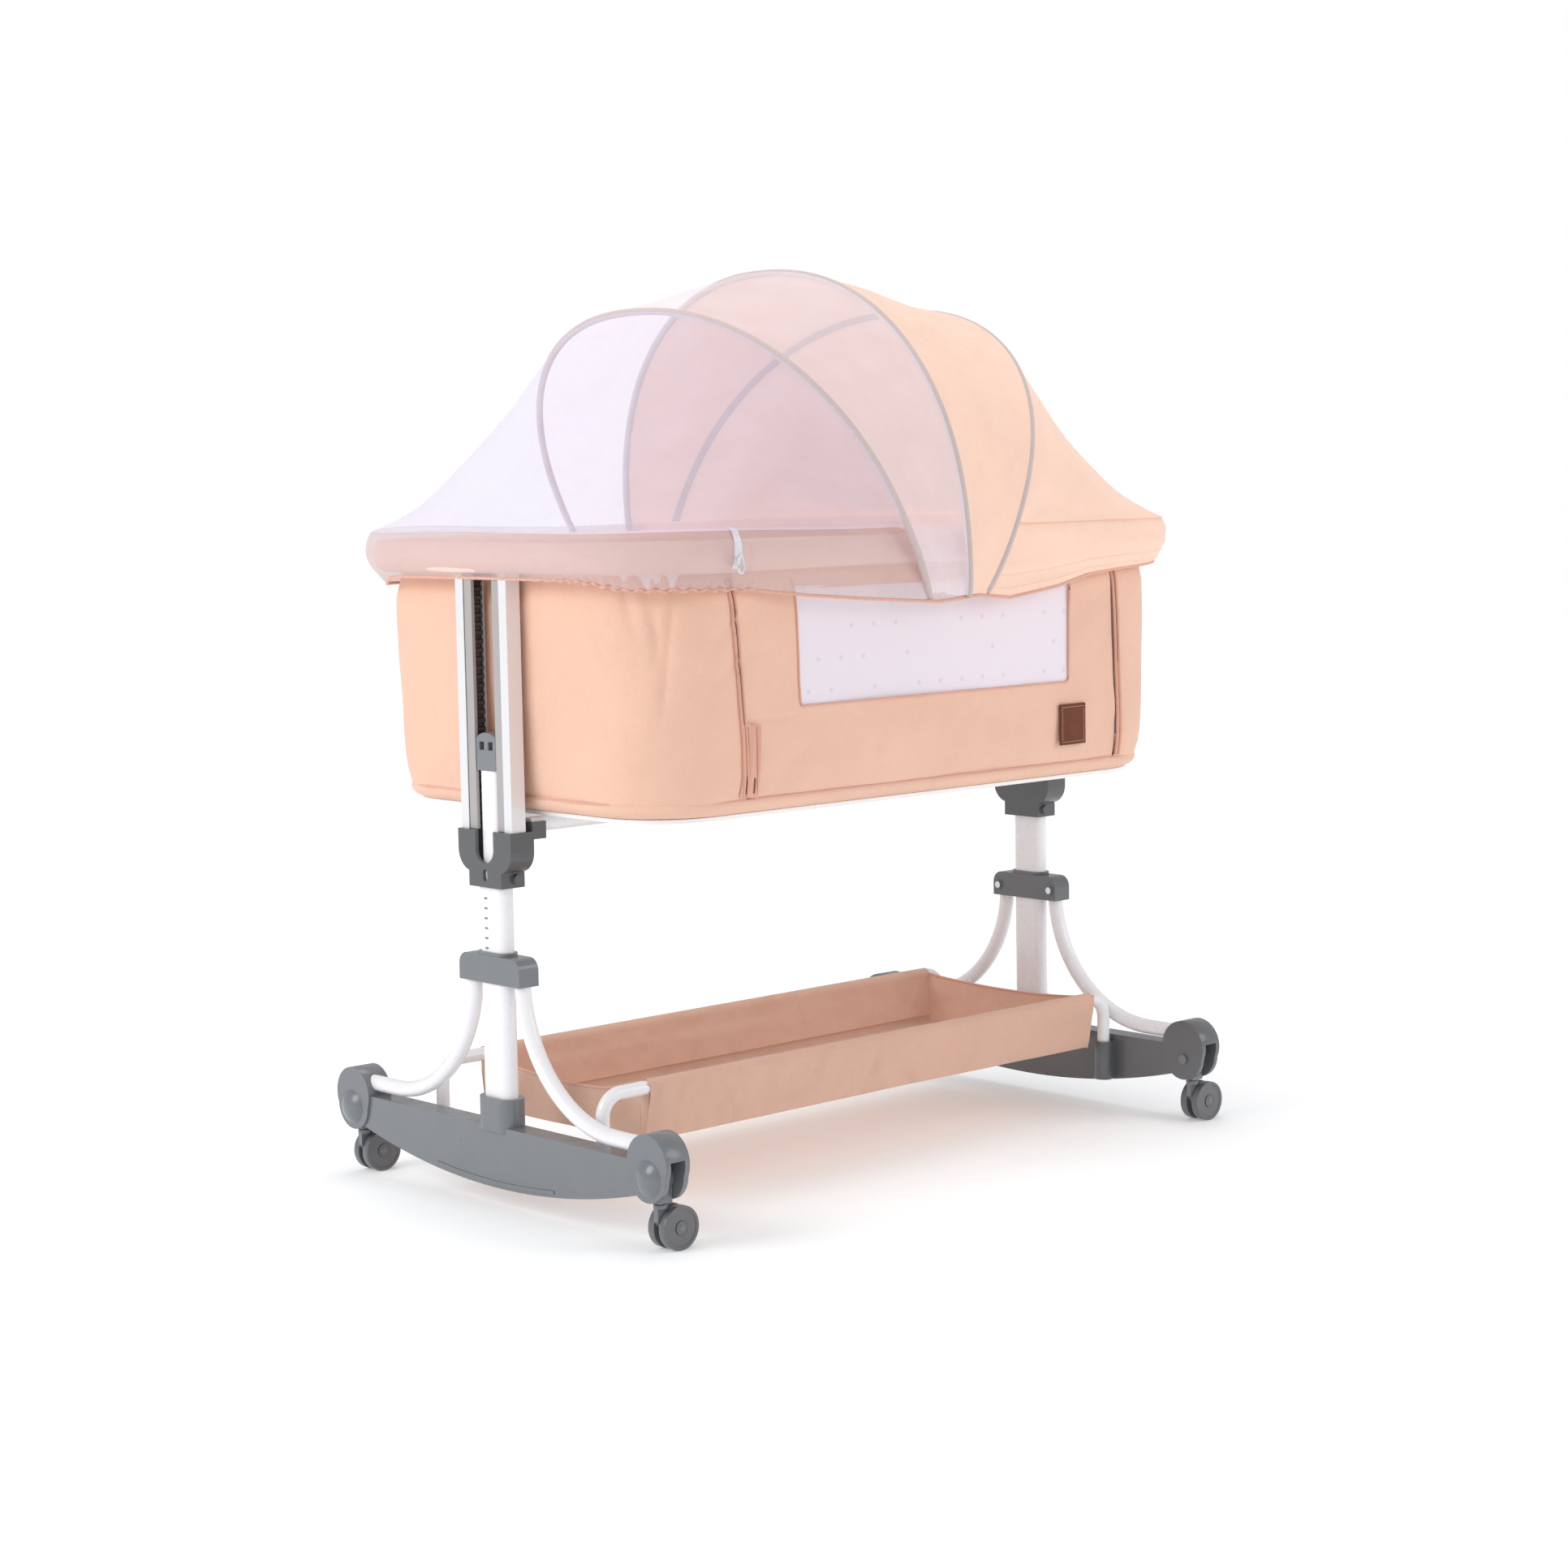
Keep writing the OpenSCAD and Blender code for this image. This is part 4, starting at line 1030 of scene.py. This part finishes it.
def add_rim_zip():
    """Zip tape over the rim, with its slider and a ring pull, where the net opens."""
    zip_x, half, y = 0.333, 0.0048, -0.2975
    rows = [
        [p + Vector((0, -0.0012, 0.001)) for p in row[1:16]]
        for row in skirt_rows(np.linspace(zip_x - half, zip_x + half, 5))
    ]
    tape = grid_piece("rim_zip_tape", rows, ZIP_WHITE)
    ride_as(tape, "bassinet")
    low, high = (-zip_x - 0.0045, y, 0.752), (-zip_x + 0.0045, y + 0.006, 0.768)
    slider = round_box("rim_zip_slider", low, high, 0.0018, ZIP_WHITE)
    ride_as(slider, "bassinet")
    ring = []
    for a in np.linspace(0, 2 * pi, 28, endpoint=False):
        wide = 0.0034 + 0.0008 * sin(-a)
        ring.append((-zip_x + wide * cos(a), y - 0.0016, 0.7435 + 0.0095 * sin(a)))
    ride_as(tube("rim_zip_pull", ring, 0.0015, ZIP_WHITE, sides=8, closed=True), "bassinet")


def add_pads():
    """Pads on the fixed rim and on the dropping rail, whose left end stops short of the leaning zip."""
    rim = pad_ring("rim_pad_stuffed", 0.3045, loop_length(PAD_LOOP) - 0.3115, 420)
    gate = pad_ring("drop_pad_stuffed", -0.3065, 0.2995, 110)
    mattress = mattress_shape("mattress_cover", 0.4725, 0.507)
    for piece, voxel, cap, node, body, slot in (
        (rim, 0.005, 0.003, "rim_pad", "bassinet", "peach_fabric"),
        (gate, 0.005, 0.003, "drop_pad", "drop_side", "peach_fabric"),
        (mattress, 0.006, 0.004, "mattress", "bassinet", "mattress_cover"),
    ):
        puff(piece, voxel, cap)
        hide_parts(node)
        ride_as(piece, body)


def add_canopy():
    """The canopy's four sheets, from the left end's net to the right end's hood, and the hoops' sleeves."""
    n, low, gap = 120, SHEET_LOW, SHEET_GAP
    front = hoop_line(FRONT_HOOP, n, END_SHEET_LOW, HOOP_R, -gap)
    rim = rim_line(LEFT, -0.084, n, 0.7768)
    net_front = canopy_panel("net_front_sheet", rim, front, drawn_control(rim, front), 36, NET, 0.004, 1.3)
    a, b = hoop_line(FRONT_HOOP, n, low, HOOP_R, gap), hoop_line(MIDDLE_HOOP, n, low, HOOP_R, -gap)
    net_middle = canopy_panel("net_middle_sheet", a, b, straight_control(a, b), 16, MIDDLE_NET_PAINTED_LIGHT, 0.002, 2.6)
    c, d = hoop_line(MIDDLE_HOOP, n, low, HOOP_R, gap), hoop_line(REAR_HOOP, n, low, HOOP_R, -gap)
    hood_front = canopy_panel("hood_front_sheet", c, d, straight_control(c, d), 24, HOOD_CLOTH, 0.005, 3.9)
    rear = hoop_line(REAR_HOOP, n, END_SHEET_LOW, HOOP_R, gap)
    rim = rim_line(RIGHT, 0.098, n, 0.7764)
    control = drawn_control(rim, rear)
    hood_rear = canopy_panel("hood_rear_sheet", rear, rim, control, 36, HOOD_CLOTH, 0.008, 5.2)

    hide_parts("net_front")
    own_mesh(net_front)
    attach(net_front, "canopy_front")
    hoops = (FRONT_HOOP, MIDDLE_HOOP, REAR_HOOP)
    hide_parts("net_middle")
    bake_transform(net_middle)
    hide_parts("hood_front")
    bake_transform(hood_front)
    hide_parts("hood_rear")
    ride_as(hood_rear, "bassinet")

    bodies = (("front", "canopy_front"), ("middle", "canopy_middle"), ("rear", "bassinet"))
    for hoop, (name, body) in zip(hoops, bodies):
        path = hoop_line(hoop, 160, SLEEVE_LOW, 0.0008)
        sleeve = tube(f"hoop_{name}_sleeve", path, 0.0044, SLEEVE, sides=10)
        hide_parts(f"hoop_{name}")
        ride_as(sleeve, body)


# ---- Basket ----

def sling_profile():
    """Section of the sling: a hem inside each tube, over the tube, down the wall and across the floor."""
    top, tube_y, r = BASKET_TOP_Z, 0.150, 0.0092
    profile = [(-0.1408, z) for z in np.linspace(0.096, 0.140, 7)]
    turn = np.linspace(-0.1, pi + 0.05, 12)
    profile += [(-tube_y + r * cos(a), top + r * sin(a)) for a in turn]
    profile += [(-0.159 + 0.0085 * t, 0.146 - 0.052 * t) for t in np.linspace(0.08, 1, 10)]
    profile += [(-0.1480, 0.0885)] + [(y, BASKET_FLOOR_Z) for y in np.linspace(-0.142, 0.0, 14)]
    return profile + [(-y, z) for y, z in profile[-2::-1]]


def add_sling():
    x0, x1 = SLING_X
    rows = []
    for x in np.linspace(x0, x1, 110):
        row = []
        for y, z in sling_profile():
            wall = smooth(0.14, 0.125, z)
            out = wall * (0.0035 * wrinkle(x * 5, y * 4, z * 12) + 0.0015 * wrinkle(x * 16, y * 3, z * 25))
            flat = smooth(0.130, 0.10, abs(y)) * 0.0025 * wrinkle(x * 6, y * 8, 3)
            lean = 0.004 * wall * sin(pi * (x - x0) / (x1 - x0))
            side = copysign(1, y) if abs(y) > 0.13 else 0
            row.append((x, y + side * (out - lean), z + flat))
        rows.append(row)
    sling = grid_piece("basket_cloth", rows, BASKET_CLOTH)
    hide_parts("basket_sling")
    ride_as(sling, "stand")


def add_sling_ends():
    """Panel at each end of the sling, whose hem hangs lower in the middle."""
    for name, x, droop in (("basket_end_left", SLING_X[0], 0.020), ("basket_end_right", SLING_X[1], 0.010)):
        rows = []
        for f in np.linspace(-1, 1, 49):
            rim = BASKET_TOP_Z + 0.006 - droop * max(cos(f * pi / 2), 0) ** 0.6
            row = []
            for z in np.linspace(0.0858, rim, 14):
                out = 0.004 * wrinkle(f * 2, z * 20, droop * 90) * (z - BASKET_FLOOR_Z) / 0.06
                row.append((x + out, f * (0.148 + 0.009 * (z - 0.0885) / 0.0575), z))
            rows.append(row)
        end = grid_piece(name, rows, BASKET_CLOTH)
        ride_as(end, "stand")
        hem = [row[-1] for row in rows]
        ride_as(tube(f"{name}_hem", hem, 0.0016, BINDING), "stand")


# ---- Hard parts ----

# The looks of the CAD nodes by the start of their names; the first that fits counts. The right foot and
# collar and the brackets take darker copies of the grey plastic as painted shade.
NODE_LOOKS = (
    (SHADED_GREY, ("foot_right", "collar_right")), (STEEL, ("collar_screws",)),
    (GREY, ("foot", "collar", "pivot_pins", "caster_arm", "caster_fork", "brake_lever")),
    (WHITE, ("post", "inner_tube", "brace", "basket_tube", "rim_frame", "base_tubes")),
    (LATCH, ("latch_block",)), (WHEEL, ("caster_wheels",)), (BRACKET_SHADE_GREY, ("bracket",)),
    (ALUMINIUM, ("rails",)), (INSERT, ("rail_inserts",)), (BLACK, ("racks",)), (BOARD, ("base_board",)),
)
# Widths of the rounded edges, by the start of the nodes' names
BEVELS = {
    "foot": 0.0018, "latch_block": 0.0012, "collar_left": 0.003, "collar_right": 0.003, "caster_fork": 0.0008,
    "bracket": 0.0016, "rails": 0.0006, "rail_inserts": 0.0005, "caster_wheels": 0.0012, "caster_arm": 0.0008,
    "base_board": 0.001,
}


def dress_hard_parts():
    for name, node in nodes.items():
        look = next((look for look, starts in NODE_LOOKS if name.startswith(starts)), None)
        if look is None:
            continue
        node.data.materials.clear()
        node.data.materials.append(look)
        width = next((w for start, w in BEVELS.items() if name.startswith(start)), None)
        if width:
            weld = node.modifiers.new("weld", "WELD")
            weld.merge_threshold = 0.00001
            bevel = node.modifiers.new("edges", "BEVEL")
            bevel.width = width
            bevel.segments = 2
            bevel.limit_method = "ANGLE"
            bevel.angle_limit = radians(35)
            bevel.use_clamp_overlap = True
            bevel.harden_normals = True


def add_hub_pins():
    """Bright pin ends in the middle of each wheel."""
    for name, node in nodes.items():
        if not name.startswith("caster_wheels"):
            continue
        corner = name[len("caster_wheels_"):]
        low, high = node_box(node)
        middle = (low + high) / 2
        for side, y, turn in (("a", low.y, -1), ("b", high.y, 1)):
            path = [(middle.x, y - turn * 0.004, middle.z), (middle.x, y + turn * 0.0004, middle.z)]
            pin = tube(f"hub_pin_{corner}_{side}", path, 0.0032, STEEL, sides=14)
            ride_as(pin, f"wheels_{corner}")


def add_drop_rail():
    """The dropping rail, shorter than its CAD tube, so that it clears the leaning zip when it is down."""
    low, high = node_box(nodes["drop_rail"])
    middle, half = (low + high) / 2, high.x - GATE_RAIL_TRIM
    path = [(x, middle.y, middle.z) for x in np.linspace(-half, half, 5)]
    rail = tube("gate_rail", path, (high.z - low.z) / 2, WHITE, sides=20)
    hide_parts("drop_rail")
    ride_as(rail, "drop_side")


MARK_COUNT = 6
MARK_LOW_Z = 0.306
MARK_PITCH = 0.0115
MARK_SIDES = 10


def add_marks():
    """Small height marks down the outer face of each lower post."""
    for end, name in ((LEFT, "left"), (RIGHT, "right")):
        x = end * (FOOT_X + 0.0111)
        points, faces = [], []
        for k in range(MARK_COUNT):
            z = MARK_LOW_Z + MARK_PITCH * k
            ring = list(range(len(points), len(points) + MARK_SIDES))
            for a in range(MARK_SIDES):
                t = 2 * pi * a / MARK_SIDES
                points.append((x, 0.006 + 0.0034 * cos(t), z + 0.0013 * sin(t)))
            faces.append(tuple(ring if end == RIGHT else ring[::-1]))
        marks = new_piece(f"height_marks_{name}", points, faces, GREY)
        ride_as(marks, "stand")


add_camera()
add_studio()
dress_hard_parts()
add_marks()
add_hub_pins()
add_drop_rail()
add_pads()
add_tub_wall()
add_tub_roll()
add_tub_lining()
add_gate()
add_zip_flap()
add_zip("zip_left", LEFT, 0.565)
add_zip("zip_right", RIGHT, 0.600)
add_patch()
add_skirt()
add_rim_zip()
add_canopy()
add_sling()
add_sling_ends()
